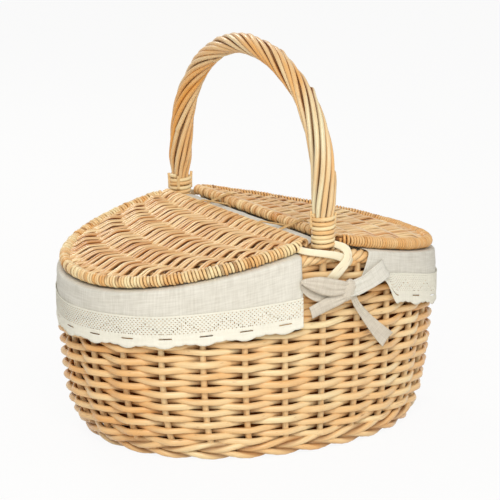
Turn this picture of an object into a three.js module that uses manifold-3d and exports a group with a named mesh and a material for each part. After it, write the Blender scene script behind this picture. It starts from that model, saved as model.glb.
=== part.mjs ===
// A lidded willow picnic basket with an arched handle and a tied linen liner.
// Millimetres, +Z up, X along the basket, handle in the YZ plane, front at -Y.
import * as THREE from 'three';
import { mergeVertices } from 'three/addons/utils/BufferGeometryUtils.js';
import Module from 'manifold-3d';

const wasm = await Module();
wasm.setup();

// Fits
const CLEARANCE = 0.3;
const CUT_OVERRUN = 2;

// Woven body, measured on its outer face
const BODY_HALF_LENGTH = 202;
const BODY_HALF_WIDTH = 149;
const END_FLARE = 47;
const SIDE_FLARE = 11;
const BASE_HALF_LENGTH = BODY_HALF_LENGTH - END_FLARE;
const BASE_HALF_WIDTH = BODY_HALF_WIDTH - SIDE_FLARE;
const OVAL_POWER = 2.2;
const FLARE_HEIGHT = 170;
const FLARE_POWER = 2.8;
const WALL_THICKNESS = 16;
const BASE_HEIGHT = 12;
const BASE_LIP = 5;
const RIDGE_HEIGHT = 206;
const BORDER_HEIGHT = 14;
const BORDER_CHAMFER = 3;

// Rods inside the wall and the base
const STAKE_PLACES = 26;
const STAKE_DIAMETER = 7;
const LONG_STICKS = 3;
const SHORT_STICKS = 5;
const STICK_DIAMETER = 6;
const STICK_PITCH = 42;

// Rods woven round the stakes and over the lids' ribs
const WEAVE_ROWS = 11;
const WEAVE_THICKNESS = 5;
const WEAVE_ROW_GAP = 0.5;
const WEAVE_FIT = 1;
const WEAVE_START_PLACE = 16;
const LID_STRIPS = 14;
const LID_STRIP_RISE = 2;

// Bridge between the lids
const BRIDGE_WIDTH = 18;
const BRIDGE_HEIGHT = 8;
const BRIDGE_RISE = 4;

// Handle
const HANDLE_DIAMETER = 24;
const BOW_DIAMETER = 15;
const TANG_TOP_DIAMETER = 10;
const TANG_END_DIAMETER = 7;
const TANG_LENGTH = 110;
const LEG_HEIGHT = 69;
const ARCH_RISE = 116;
const LAPPING_TURNS = 5;
const LAPPING_DIAMETER = 4.4;
const LAPPING_PITCH = 5.2;
const LAPPING_FOOT = 5;
const ROPING_FIT = 0.6;
const STRAP_WIDTH = 8;
const STRAP_THICKNESS = 1.6;
const LONG_STRAP_LENGTH = 62;
const LONG_STRAP_LEAN = THREE.MathUtils.degToRad(-71.6);
const LONG_STRAP_PLACE = new THREE.Vector2(4, -6);
const SHORT_STRAP_LENGTH = 40;
const SHORT_STRAP_LEAN = THREE.MathUtils.degToRad(41.6);
const SHORT_STRAP_PLACE = new THREE.Vector2(16.5, -15.3);

// Lids
const HINGE_OFFSET = 19.5;
const LID_SLOPE = THREE.MathUtils.degToRad(11.9);
const LID_END_MARGIN = 2;
const LID_SIDE_MARGIN = 5;
const LID_EDGE = 11;
const LID_HOOP_DIAMETER = 6.4;
const LID_PANEL = 7;
const LID_CORNER = 14;
const LID_RIBS = 4;
const LID_RIB_DIAMETER = 4.8;
const LID_RIB_PITCH = 36;
const BINDING_WALL = 1.3;
const BINDING_REACH = THREE.MathUtils.degToRad(135);
const HINGE_TIE_WIDTH = 5;
const HINGE_TIE_THICKNESS = 2;
const HINGE_TIE_SLACK = 0.6;
const HINGE_TIE_TOP = THREE.MathUtils.degToRad(105);
const HINGE_TIE_FOOT = THREE.MathUtils.degToRad(-56);
const LEFT_TIE_PLACE = 58;
const RIGHT_TIE_PLACE = 72;

// Liner
const LINEN = 1.3;
const LINER_GAP = 1;
const LINER_DROP = 12;
const FLAP_PLAIN_END = 30;
const FLAP_TIED_END = 52;
const LACE_TIED_END = 72;
const FLAP_GAP = 0.8;
const FLAP_HEM = 165;
const HEM_FALL = 19;
const FLAP_RIPPLES = 5;
const FLAP_RIPPLE = 2;
const LACE_HEIGHT = 34;
const LACE_THICKNESS = 1;
const LACE_SCALLOPS = 12;
const LACE_SCALLOP = 4;

// Bow at each foot of the handle, its points set off sideways and upwards from the knot
const KNOT_SIZE = new THREE.Vector3(14, 8, 16);
const KNOT_PLACE = new THREE.Vector2(24, -39);
const TIE_THICKNESS = 2.4;
const TIE_ROOT = 6;
const LOOP_TIP = new THREE.Vector2(52, 12);
const LOOP_CROWN = new THREE.Vector2(26, 25);
const LOOP_BELLY = new THREE.Vector2(26, -4);
const LOOP_FORK = new THREE.Vector2(8, -2);
const LEFT_TAIL_TIP = new THREE.Vector2(41, -11);
const LEFT_TAIL_TOE = new THREE.Vector2(35, -22);
const RIGHT_TAIL_TOE = new THREE.Vector2(30, -63);
const RIGHT_TAIL_TIP = new THREE.Vector2(46, -57);
const STRAP_BELLY = new THREE.Vector2(24, 3);
const STRAP_TIP = new THREE.Vector2(32, 20);
const STRAP_CROWN = new THREE.Vector2(14, 18);

// Facets
const WALL_STEPS = 5;
const LEVEL_CROWDING = 1.8;
const WALE_STEPS = 2;
const PLACE_STEPS = 2;
const RING_STEPS = PLACE_STEPS * STAKE_PLACES;
const ROD_SIDES = 6;
const ROUND_SEGMENTS = 4;
const BOW_STEPS = 28;
const ROPING_STEPS = 26;
const TURN_STEPS = 24;
const LID_STEPS = 40;
const BINDING_STEPS = 4;
const TIE_ARC_STEPS = 5;
const RIBBON_SEGMENTS = 5;
const SCALLOP_STEPS = 4;

const willow = { color: 0xb98445, roughness: 0.5, metalness: 0 };
const paleWillow = { color: 0xc99a5e, roughness: 0.5, metalness: 0 };
const linen = { color: 0xd9d3c4, roughness: 0.95, metalness: 0 };
const ivory = { color: 0xe6dcc6, roughness: 0.95, metalness: 0 };

// A named piece with its own material
function piece(name, geometry, finish) {
  const mesh = new THREE.Mesh(geometry, new THREE.MeshStandardMaterial(finish));
  mesh.name = name;
  return mesh;
}

// A closed solid for joining and cutting
function solid(geometry) {
  const bare = geometry.clone();
  bare.deleteAttribute('normal');
  bare.deleteAttribute('uv');
  const merged = mergeVertices(bare);
  return new wasm.Manifold(new wasm.Mesh({
    numProp: 3,
    vertProperties: new Float32Array(merged.attributes.position.array),
    triVerts: new Uint32Array(merged.index.array),
  }));
}

// The geometry of a joined or cut solid
function geometryOf(result) {
  const mesh = result.getMesh();
  const geometry = new THREE.BufferGeometry();
  geometry.setAttribute('position', new THREE.BufferAttribute(mesh.vertProperties, 3));
  geometry.setIndex(new THREE.BufferAttribute(mesh.triVerts, 1));
  geometry.computeVertexNormals();
  return geometry;
}

const join = (...parts) => parts.map(solid).reduce((whole, next) => whole.add(next));
const cut = (body, ...tools) => tools.map(solid).reduce((left, tool) => left.subtract(tool), solid(body));

// Volume enclosed by indexed faces, negative when they point in
function signedVolume(points, faces) {
  let total = 0;
  for (const [a, b, c] of faces) {
    total += points[a].dot(new THREE.Vector3().crossVectors(points[b], points[c])) / 6;
  }
  return total;
}

// A closed skin over matching rings: ends joined to each other, or capped over a flat outline
function skin(rings, capOutline = null) {
  const size = rings[0].length;
  const points = rings.flat();
  const faces = [];
  const spans = capOutline ? rings.length - 1 : rings.length;
  for (let i = 0; i < spans; i += 1) {
    const near = i * size;
    const far = ((i + 1) % rings.length) * size;
    for (let j = 0; j < size; j += 1) {
      const next = (j + 1) % size;
      faces.push([near + j, near + next, far + next], [near + j, far + next, far + j]);
    }
  }
  if (capOutline) {
    const turn = THREE.ShapeUtils.area(capOutline);
    const last = (rings.length - 1) * size;
    for (const face of THREE.ShapeUtils.triangulateShape(capOutline, [])) {
      const same = turn * THREE.ShapeUtils.area(face.map((i) => capOutline[i])) > 0;
      const [a, b, c] = same ? face : face.toReversed();
      faces.push([a, c, b], [last + a, last + b, last + c]);
    }
  }
  const outward = signedVolume(points, faces) > 0;
  const order = outward ? faces.flat() : faces.flatMap(([a, b, c]) => [a, c, b]);
  const geometry = new THREE.BufferGeometry();
  geometry.setFromPoints(points);
  geometry.setIndex(order);
  geometry.computeVertexNormals();
  return geometry;
}

// Points spread evenly round a circle
function roundSection(radius, sides) {
  return Array.from({ length: sides }, (_, i) => {
    const angle = (2 * Math.PI * i) / sides;
    return new THREE.Vector2(radius * Math.cos(angle), radius * Math.sin(angle));
  });
}

const squash = (value) => Math.sign(value) * Math.abs(value) ** (2 / OVAL_POWER);

// The plan outline of the body, from the front foot round by the right end
class Oval extends THREE.Curve {
  constructor(halfLength, halfWidth) {
    super();
    this.halfLength = halfLength;
    this.halfWidth = halfWidth;
  }

  getPoint(t, target = new THREE.Vector3()) {
    const angle = Math.PI * (2 * t - 0.5);
    return target.set(this.halfLength * squash(Math.cos(angle)), this.halfWidth * squash(Math.sin(angle)), 0);
  }
}

const belly = new Oval(BODY_HALF_LENGTH, BODY_HALF_WIDTH);

// Outward direction of the wall in plan
function wallNormal(t) {
  const { x, y } = belly.getPoint(t);
  const steep = (value, half) => (Math.sign(value) * Math.abs(value / half) ** (OVAL_POWER - 1)) / half;
  return new THREE.Vector3(steep(x, BODY_HALF_LENGTH), steep(y, BODY_HALF_WIDTH), 0).normalize();
}

// Share of the flare reached at a height
function flare(z) {
  const rest = 1 - THREE.MathUtils.clamp(z / FLARE_HEIGHT, 0, 1);
  return (1 - rest ** FLARE_POWER) ** (1 / FLARE_POWER);
}

// A point of the wall: place round the oval, depth behind the outer face, height
function wallPoint(t, depth, z) {
  const share = flare(z);
  const halfLength = THREE.MathUtils.lerp(BASE_HALF_LENGTH, BODY_HALF_LENGTH, share);
  const halfWidth = THREE.MathUtils.lerp(BASE_HALF_WIDTH, BODY_HALF_WIDTH, share);
  const point = new Oval(halfLength, halfWidth).getPoint(t);
  return point.addScaledVector(wallNormal(t), -depth).setZ(z);
}

// Height of the border's top, flat at the handle and falling to the ends with the lids
const rimTop = (x) => RIDGE_HEIGHT - Math.tan(LID_SLOPE) * Math.max(Math.abs(x) - HINGE_OFFSET, 0);
const rimAt = (t) => rimTop(belly.getPoint(t).x);
const wallFoot = BASE_HEIGHT + CLEARANCE;
const wallHead = (t) => rimAt(t) - BORDER_HEIGHT - CLEARANCE;
const levelShare = (step) => (step / WALL_STEPS) ** LEVEL_CROWDING;
const wallLevel = (t, step) => THREE.MathUtils.lerp(wallFoot, wallHead(t), levelShare(step));
const ringPlaces = Array.from({ length: RING_STEPS }, (_, i) => belly.getUtoTmapping(i / RING_STEPS));
const steps = (count) => Array.from({ length: count + 1 }, (_, i) => i);

// An upright rod of the wall, cut square below the border
function stake(place) {
  const t = belly.getUtoTmapping(place / STAKE_PLACES);
  const normal = wallNormal(t);
  const along = new THREE.Vector3(-normal.y, normal.x, 0);
  const section = roundSection(STAKE_DIAMETER / 2, ROD_SIDES);
  const heights = steps(WALL_STEPS).map((step) => wallLevel(t, step));
  heights[WALL_STEPS] -= Math.tan(LID_SLOPE) * STAKE_DIAMETER / 2;
  const rings = heights.map((z) => section.map((corner) => wallPoint(t, WALL_THICKNESS / 2, z)
    .addScaledVector(along, corner.x)
    .addScaledVector(normal, corner.y)));
  return skin(rings, section);
}

// A point on the wall's facets, which are straight between its levels
function facetPoint(t, depth, z) {
  const share = (z - wallFoot) / (wallHead(t) - wallFoot);
  const step = Math.min(Math.floor(WALL_STEPS * share ** (1 / LEVEL_CROWDING)), WALL_STEPS - 1);
  const [low, high] = [step, step + 1].map((level) => wallPoint(t, depth, wallLevel(t, level)));
  return low.lerp(high, (z - low.z) / (high.z - low.z));
}

const isTang = (place) => place % (STAKE_PLACES / 2) === 0;

// Depths of the woven rod's ridge and back between stakes (0), in front of one (1) or behind it (-1)
function weaveDepths(place, side) {
  const middle = WALL_THICKNESS / 2;
  const clear = (isTang(place) ? TANG_TOP_DIAMETER : STAKE_DIAMETER) / 2 + WEAVE_FIT;
  if (side === 0) {
    return [middle - WEAVE_THICKNESS / 2, middle + WEAVE_THICKNESS / 2];
  }
  return side > 0 ? [0, middle - clear] : [middle + clear, WALL_THICKNESS];
}

// The wall's weave, one rod of ridged section that goes round in front of one stake and behind the next,
// passes two alike where a round ends, and there climbs a row
function sideWeave() {
  const last = WEAVE_ROWS * RING_STEPS - PLACE_STEPS;
  const rings = steps(last).map((i) => {
    const round = Math.floor(i / RING_STEPS);
    const atStake = i % PLACE_STEPS === 0;
    const climb = (i + 1) % RING_STEPS === 0 ? 1 / PLACE_STEPS : 0;
    const ring = (PLACE_STEPS * WEAVE_START_PLACE + i) % RING_STEPS;
    const side = atStake ? 1 - 2 * ((i / PLACE_STEPS + round) % 2) : 0;
    const [ridge, back] = weaveDepths(ring / PLACE_STEPS, side);
    const t = ringPlaces[ring];
    const rowAt = (row) => THREE.MathUtils.lerp(wallFoot, wallHead(t), row / WEAVE_ROWS);
    const low = rowAt(round + climb);
    const high = rowAt(round + climb + 1) - WEAVE_ROW_GAP;
    return [facetPoint(t, back, high), facetPoint(t, back, low), facetPoint(t, ridge, (low + high) / 2)];
  });
  const start = rings[0].map((point) => new THREE.Vector2(point.y, point.z));
  return skin(rings, start);
}

// The border, a ring of chamfered section that takes the handle's tangs
function rimBorder(tangCuts) {
  const c = BORDER_CHAMFER;
  const rings = ringPlaces.map((t) => {
    const corner = (depth, drop) => wallPoint(t, depth, rimAt(t) - drop);
    return [
      corner(0, c),
      corner(c, 0),
      corner(WALL_THICKNESS - c, 0),
      corner(WALL_THICKNESS, c),
      corner(WALL_THICKNESS, BORDER_HEIGHT - c),
      corner(WALL_THICKNESS - c, BORDER_HEIGHT),
      corner(c, BORDER_HEIGHT),
      corner(0, BORDER_HEIGHT - c),
    ];
  });
  return geometryOf(cut(skin(rings), ...tangCuts));
}

const plateLength = BASE_HALF_LENGTH - BASE_LIP;
const plateWidth = BASE_HALF_WIDTH - BASE_LIP;

// The thick courses that turn the base up into the wall
function upsettWale() {
  const inner = new Oval(plateLength + CLEARANCE, plateWidth + CLEARANCE);
  const rings = ringPlaces.map((t) => [
    ...steps(WALE_STEPS).map((step) => wallPoint(t, 0, (BASE_HEIGHT * step) / WALE_STEPS)),
    inner.getPoint(t).setZ(BASE_HEIGHT),
    inner.getPoint(t).setZ(0),
  ]);
  return skin(rings);
}

// The oval plate of the base
function basePlate() {
  const outline = new Oval(plateLength, plateWidth);
  const ring = ringPlaces.map((t) => outline.getPoint(t));
  const flat = ring.map((point) => new THREE.Vector2(point.x, point.y));
  return skin([ring, ring.map((point) => point.clone().setZ(BASE_HEIGHT))], flat);
}

// The crossed sticks of the base, run past its edge
function baseSticks(fit) {
  const radius = STICK_DIAMETER / 2 + fit / Math.cos(Math.PI / ROD_SIDES);
  const stick = (span, x, y, turn) => new THREE.CylinderGeometry(radius, radius, span, ROD_SIDES)
    .rotateZ(turn)
    .translate(x, y, BASE_HEIGHT / 2);
  const spread = (count) => Array.from({ length: count }, (_, i) => (i - (count - 1) / 2) * STICK_PITCH);
  return join(
    ...spread(LONG_STICKS).map((y) => stick(2 * BASE_HALF_LENGTH, 0, y, Math.PI / 2)),
    ...spread(SHORT_STICKS).map((x) => stick(2 * BASE_HALF_WIDTH, x, 0, 0)),
  );
}

const legPlace = BODY_HALF_WIDTH - WALL_THICKNESS / 2;
const legFoot = RIDGE_HEIGHT + CLEARANCE;
const lappingStart = legFoot + LAPPING_FOOT + LAPPING_DIAMETER / 2;
const ropingFoot = lappingStart + LAPPING_TURNS * LAPPING_PITCH + LAPPING_DIAMETER;

// The line of the handle: two upright legs and a half-oval arch of two cubics
function handleLine(foot) {
  const spring = RIDGE_HEIGHT + LEG_HEIGHT;
  const top = spring + ARCH_RISE;
  const pull = (4 / 3) * (Math.SQRT2 - 1);
  const at = (y, z) => new THREE.Vector3(0, y, z);
  const line = new THREE.CurvePath();
  line.add(new THREE.LineCurve3(at(-legPlace, foot), at(-legPlace, spring)));
  line.add(new THREE.CubicBezierCurve3(
    at(-legPlace, spring), at(-legPlace, spring + pull * ARCH_RISE), at(-pull * legPlace, top), at(0, top)));
  line.add(new THREE.CubicBezierCurve3(
    at(0, top), at(pull * legPlace, top), at(legPlace, spring + pull * ARCH_RISE), at(legPlace, spring)));
  line.add(new THREE.LineCurve3(at(legPlace, spring), at(legPlace, foot)));
  return line;
}

// A round rod or, with a bore, a sleeve along a line
function rodAlong(line, diameter, lineSteps, bore = 0) {
  const section = new THREE.Shape().absarc(0, 0, diameter / 2, 0, 2 * Math.PI);
  if (bore > 0) {
    section.holes.push(new THREE.Path().absarc(0, 0, bore / 2, 0, 2 * Math.PI));
  }
  return new THREE.ExtrudeGeometry(section, {
    steps: lineSteps,
    extrudePath: line,
    curveSegments: ROUND_SEGMENTS,
    bevelEnabled: false,
  });
}

// The shaved end of the bow at one foot, let out by a fit where a hole is cut
function tang(side, fit = 0) {
  const sides = 2 * ROUND_SEGMENTS;
  const grow = fit / Math.cos(Math.PI / sides);
  const length = TANG_LENGTH + CUT_OVERRUN + fit;
  return new THREE.CylinderGeometry(TANG_TOP_DIAMETER / 2 + grow, TANG_END_DIAMETER / 2 + grow, length, sides)
    .rotateX(Math.PI / 2)
    .translate(0, side * legPlace, legFoot + CUT_OVERRUN - length / 2);
}

// The wound foot of the handle
class Winding extends THREE.Curve {
  getPoint(t, target = new THREE.Vector3()) {
    const radius = BOW_DIAMETER / 2 + CLEARANCE + LAPPING_DIAMETER / 2;
    const run = LAPPING_DIAMETER / (2 * Math.PI * radius);
    const turns = THREE.MathUtils.lerp(-run, LAPPING_TURNS + run, t);
    const wound = THREE.MathUtils.clamp(turns, 0, LAPPING_TURNS);
    const angle = 2 * Math.PI * wound;
    const straight = 2 * Math.PI * radius * (turns - wound);
    return target.set(
      radius * Math.cos(angle) - straight * Math.sin(angle),
      radius * Math.sin(angle) + straight * Math.cos(angle),
      LAPPING_PITCH * turns,
    );
  }
}

// Least gap between one turn of a winding and another
function leastGap(line, turns, diameter) {
  const count = turns * TURN_STEPS;
  const points = line.getPoints(count);
  let least = Infinity;
  points.forEach((point, i) => {
    for (let j = i + TURN_STEPS / 2; j <= count; j += 1) {
      least = Math.min(least, point.distanceTo(points[j]) - diameter);
    }
  });
  return least;
}

function lapping() {
  const winding = new Winding();
  console.log(`handle lapping, least gap ${leastGap(winding, LAPPING_TURNS, LAPPING_DIAMETER).toFixed(2)} mm`);
  const section = new THREE.Shape(roundSection(LAPPING_DIAMETER / 2, ROD_SIDES));
  return new THREE.ExtrudeGeometry(section, {
    steps: LAPPING_TURNS * TURN_STEPS,
    extrudePath: winding,
    bevelEnabled: false,
  });
}

// The flat straps crossed over the border at a foot
function crossBinding() {
  const strap = (length, lean, place) => new THREE.BoxGeometry(STRAP_WIDTH, STRAP_THICKNESS, length)
    .rotateY(lean)
    .translate(place.x, 0, place.y);
  return geometryOf(join(
    strap(LONG_STRAP_LENGTH, LONG_STRAP_LEAN, LONG_STRAP_PLACE),
    strap(SHORT_STRAP_LENGTH, SHORT_STRAP_LEAN, SHORT_STRAP_PLACE),
  ));
}

const bridgeBottom = RIDGE_HEIGHT - BRIDGE_RISE;
const bridgeTop = bridgeBottom + BRIDGE_HEIGHT;

// The bar from border to border between the feet
function bridgeBar() {
  const reach = BODY_HALF_WIDTH - WALL_THICKNESS - 2 * CLEARANCE;
  return new THREE.BoxGeometry(BRIDGE_WIDTH, 2 * reach, BRIDGE_HEIGHT)
    .translate(0, 0, (bridgeBottom + bridgeTop) / 2);
}

// The linen sleeve over the top and sides of the bar
function bridgeCover() {
  const inner = BRIDGE_WIDTH / 2 + CLEARANCE;
  const outer = inner + LINEN;
  const skirt = bridgeBottom + CLEARANCE;
  const under = bridgeTop + CLEARANCE;
  const section = [
    [-outer, skirt], [-inner, skirt], [-inner, under], [inner, under],
    [inner, skirt], [outer, skirt], [outer, under + LINEN], [-outer, under + LINEN],
  ].map(([x, z]) => new THREE.Vector2(x, z));
  const reach = legPlace - HANDLE_DIAMETER / 2 - 2 * CLEARANCE;
  const rings = [-reach, reach].map((y) => section.map((corner) => new THREE.Vector3(corner.x, y, corner.y)));
  return skin(rings, section);
}

// The lids lie on the flaps, and the flaps on the border
const hingeHeight = RIDGE_HEIGHT + (LID_EDGE / 2 + LINEN + 2 * CLEARANCE) / Math.cos(LID_SLOPE);
const lidLength = (BODY_HALF_LENGTH - LID_END_MARGIN - HINGE_OFFSET) / Math.cos(LID_SLOPE) - LID_EDGE / 2;
const lidWidth = BODY_HALF_WIDTH - LID_SIDE_MARGIN - LID_EDGE / 2;
const lidHalfWidthAt = (x) => lidWidth * (1 - (x / lidLength) ** OVAL_POWER) ** (1 / OVAL_POWER);

// The hoop's line: straight along the hinge, then round the rim, with outward directions
function lidStations() {
  const shoulder = lidHalfWidthAt(LID_CORNER);
  const path = new THREE.Path().moveTo(0, LID_CORNER - shoulder).lineTo(0, shoulder - LID_CORNER);
  path.absarc(LID_CORNER, shoulder - LID_CORNER, LID_CORNER, Math.PI, Math.PI / 2, true);
  const start = Math.asin((shoulder / lidWidth) ** (OVAL_POWER / 2));
  const rim = steps(LID_STEPS).map((i) => {
    const angle = THREE.MathUtils.lerp(start, -start, i / LID_STEPS);
    return new THREE.Vector2(lidLength * squash(Math.cos(angle)), lidWidth * squash(Math.sin(angle)));
  });
  path.splineThru(rim.slice(1));
  path.absarc(LID_CORNER, LID_CORNER - shoulder, LID_CORNER, 1.5 * Math.PI, Math.PI, true);
  const points = path.getSpacedPoints(LID_STEPS).slice(0, LID_STEPS);
  return points.map((point, i) => {
    const along = points[(i + 1) % LID_STEPS].clone().sub(points.at(i - 1)).normalize();
    return { point, out: new THREE.Vector2(-along.y, along.x) };
  });
}

// A closed hoop of one section along the lid's line
function lidHoop(section) {
  return skin(lidStations().map(({ point, out }) => section.map((corner) => new THREE.Vector3(
    point.x + out.x * corner.x, point.y + out.y * corner.x, corner.y))));
}

const ribPlaces = Array.from({ length: LID_RIBS }, (_, i) => (i + 1) * LID_RIB_PITCH);

function lidRib(x, fit = 0) {
  const radius = LID_RIB_DIAMETER / 2 + fit / Math.cos(Math.PI / ROD_SIDES);
  return new THREE.CylinderGeometry(radius, radius, 2 * lidHalfWidthAt(x), ROD_SIDES).translate(x, 0, 0);
}

function lidFrame() {
  const hoop = lidHoop(roundSection(LID_HOOP_DIAMETER / 2, ROD_SIDES));
  return geometryOf(join(hoop, ...ribPlaces.map((x) => lidRib(x))));
}

// The wrapping round the hoop, open on the inside where the ribs and the panel come in
function lidBinding() {
  const angles = steps(BINDING_STEPS).map((i) => BINDING_REACH * (1 - (2 * i) / BINDING_STEPS));
  const arc = (radius) => angles.map((angle) => new THREE.Vector2(
    radius * Math.cos(angle), radius * Math.sin(angle)));
  const outer = arc(LID_EDGE / 2);
  const inner = arc(LID_EDGE / 2 - BINDING_WALL).reverse();
  return lidHoop([...outer, ...inner]);
}

// The lid's strips side by side, each raised over every second rib and its neighbour over the others
function lidStrips() {
  const floor = -LID_PANEL / 2;
  const crossings = [0, ...ribPlaces, lidLength];
  const rings = steps(2 * LID_STRIPS).map((i) => {
    const y = lidWidth * (i / LID_STRIPS - 1);
    const rise = (crossing) => (i % 2 === 1 && ((i - 1) / 2 + crossing) % 2 === 0 ? LID_STRIP_RISE : 0);
    return [
      ...crossings.map((x, crossing) => new THREE.Vector3(x, y, LID_PANEL / 2 + rise(crossing))),
      new THREE.Vector3(lidLength, y, floor),
      new THREE.Vector3(0, y, floor),
    ];
  });
  return skin(rings, rings[0].map((point) => new THREE.Vector2(point.x, point.z)));
}

// The woven panel, with channels for the ribs and slots for the hinge ties
function lidWeave(tiePlace) {
  const inset = LID_EDGE / 2 + CLEARANCE;
  const outline = lidStations().map(({ point, out }) => point.clone().addScaledVector(out, -inset));
  const ring = (z) => outline.map((corner) => new THREE.Vector3(corner.x, corner.y, z));
  const panel = solid(lidStrips()).intersect(solid(skin([ring(-LID_EDGE), ring(LID_EDGE)], outline)));
  const reach = LID_EDGE / 2 + HINGE_TIE_SLACK + HINGE_TIE_THICKNESS + HINGE_TIE_SLACK;
  const slots = [-tiePlace, tiePlace].map((y) => new THREE.BoxGeometry(
    2 * reach, HINGE_TIE_WIDTH + 2 * HINGE_TIE_SLACK, 2 * LID_EDGE).translate(0, y, 0));
  const tools = [...ribPlaces.map((x) => lidRib(x, CLEARANCE)), ...slots];
  return geometryOf(tools.map(solid).reduce((left, tool) => left.subtract(tool), panel));
}

// A lid hung on its hinge line and sloped down to the end of the basket
function lid(side, hand, tiePlace) {
  const slope = new THREE.Group();
  slope.rotation.y = LID_SLOPE;
  slope.add(
    piece(`lid_${hand}_frame`, lidFrame(), willow),
    piece(`lid_${hand}_weave`, lidWeave(tiePlace), willow),
    piece(`lid_${hand}_binding`, lidBinding(), paleWillow),
  );
  const hinge = new THREE.Group();
  hinge.position.set(side * HINGE_OFFSET, 0, hingeHeight);
  hinge.rotation.z = side > 0 ? 0 : Math.PI;
  hinge.add(slope);
  return hinge;
}

// A loop round the bar and the straight side of a lid's hoop, drawn across the hinge
function hingeTie() {
  const arc = (radius) => steps(TIE_ARC_STEPS).map((i) => {
    const angle = THREE.MathUtils.lerp(HINGE_TIE_TOP, HINGE_TIE_FOOT, i / TIE_ARC_STEPS);
    return new THREE.Vector2(HINGE_OFFSET + radius * Math.cos(angle), hingeHeight + radius * Math.sin(angle));
  });
  const half = BRIDGE_WIDTH / 2 + LINEN + 2 * CLEARANCE;
  const low = bridgeBottom - CLEARANCE;
  const high = bridgeTop + LINEN + 2 * CLEARANCE;
  const loop = (spread) => [
    ...arc(LID_EDGE / 2 + HINGE_TIE_SLACK + spread),
    new THREE.Vector2(half + spread / 2, low - spread),
    new THREE.Vector2(-half - spread, low - spread),
    new THREE.Vector2(-half - spread, high + spread),
  ];
  const section = new THREE.Shape(loop(HINGE_TIE_THICKNESS));
  section.holes.push(new THREE.Path(loop(0).reverse()));
  return new THREE.ExtrudeGeometry(section, { depth: HINGE_TIE_WIDTH, bevelEnabled: false })
    .rotateX(Math.PI / 2)
    .translate(0, HINGE_TIE_WIDTH / 2, 0);
}

const bagPlaces = ringPlaces.filter((_, i) => i % PLACE_STEPS === 0);

// The linen bag that lines the body
function linerBag() {
  const outerDepth = WALL_THICKNESS + LINER_GAP;
  const foot = BASE_HEIGHT + CLEARANCE;
  const ring = (depth, level) => bagPlaces.map((t) => wallPoint(t, depth, level(t)));
  const level = (step) => (t) => THREE.MathUtils.lerp(foot, rimAt(t) - LINER_DROP, levelShare(step));
  const rings = [
    ring(outerDepth + LINEN, () => foot + LINEN),
    ...steps(WALL_STEPS).slice(1).map((step) => ring(outerDepth + LINEN, level(step))),
    ...steps(WALL_STEPS).reverse().map((step) => ring(outerDepth, level(step))),
  ];
  const flat = rings[0].map((point) => new THREE.Vector2(point.x, point.y));
  return skin(rings, flat);
}

const tiedEnd = FLAP_TIED_END / belly.getLength();
const plainEnd = 0.5 - FLAP_PLAIN_END / belly.getLength();
const laceEnd = LACE_TIED_END / belly.getLength();

// Runs of the right half of the rim at a flap's ends and at each facet of the border below it
function flapRuns() {
  const facets = steps(RING_STEPS / 2).map((i) => i / RING_STEPS);
  return [tiedEnd, ...facets.filter((run) => run > tiedEnd && run < plainEnd), plainEnd];
}

const ripple = (run) => (FLAP_RIPPLE / 2) * (1 - Math.cos(4 * Math.PI * FLAP_RIPPLES * run));
const hemAt = (t) => FLAP_HEM - HEM_FALL * Math.abs(belly.getPoint(t).x / BODY_HALF_LENGTH);

// The linen turned over the rim on the right half, hanging in shallow folds
function flap() {
  const c = BORDER_CHAMFER;
  const inside = WALL_THICKNESS + FLAP_GAP;
  const side = (run, grow) => {
    const t = belly.getUtoTmapping(run);
    const top = rimAt(t) + CLEARANCE;
    const foot = rimAt(t) - LINER_DROP + CLEARANCE;
    const middle = (rimAt(t) + hemAt(t)) / 2;
    const face = -FLAP_GAP - grow;
    return [
      wallPoint(t, inside + grow, foot),
      wallPoint(t, inside + grow, top - c),
      wallPoint(t, inside + grow - c, top + grow),
      wallPoint(t, face + c, top + grow),
      wallPoint(t, face, top - c),
      wallPoint(t, face - ripple(run) / 2, middle),
      wallPoint(t, face - ripple(run), hemAt(t)),
    ];
  };
  const rings = flapRuns().map((run) => [...side(run, 0), ...side(run, LINEN).reverse()]);
  const start = rings[0].map((point) => new THREE.Vector2(point.y, point.z));
  return skin(rings, start);
}

// The lace sewn along the hem on the right half, with a scalloped edge
function lace() {
  const count = LACE_SCALLOPS * SCALLOP_STEPS;
  const rings = steps(count).map((i) => {
    const run = THREE.MathUtils.lerp(laceEnd, plainEnd, i / count);
    const t = belly.getUtoTmapping(run);
    const scallop = LACE_SCALLOP * Math.abs(Math.cos((Math.PI * i) / SCALLOP_STEPS));
    const near = -FLAP_GAP - ripple(run);
    const far = near - LACE_THICKNESS;
    const top = hemAt(t) - CLEARANCE;
    const bottom = top - LACE_HEIGHT + scallop;
    return [[near, top], [far, top], [far, bottom], [near, bottom]].map(([depth, z]) => wallPoint(t, depth, z));
  });
  const start = rings[0].map((point) => new THREE.Vector2(point.y, point.z));
  return skin(rings, start);
}

const knotHeight = RIDGE_HEIGHT + KNOT_PLACE.y;
const tieFace = BODY_HALF_WIDTH + Math.max(STRAP_THICKNESS + CLEARANCE, FLAP_GAP + LINEN) + CLEARANCE;

// A flat ribbon shape standing in front of the flaps
function ribbon(shape) {
  return new THREE.ExtrudeGeometry(shape, { depth: TIE_THICKNESS, bevelEnabled: false })
    .rotateX(Math.PI / 2)
    .translate(0, -tieFace, 0);
}

// Where a point of the bow lies, set off from the left (-1) or right (1) face of the knot
function bowPoint(side, offset) {
  const root = KNOT_SIZE.x / 2 + CLEARANCE;
  return new THREE.Vector2(KNOT_PLACE.x + side * (root + offset.x), knotHeight + offset.y);
}

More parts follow.
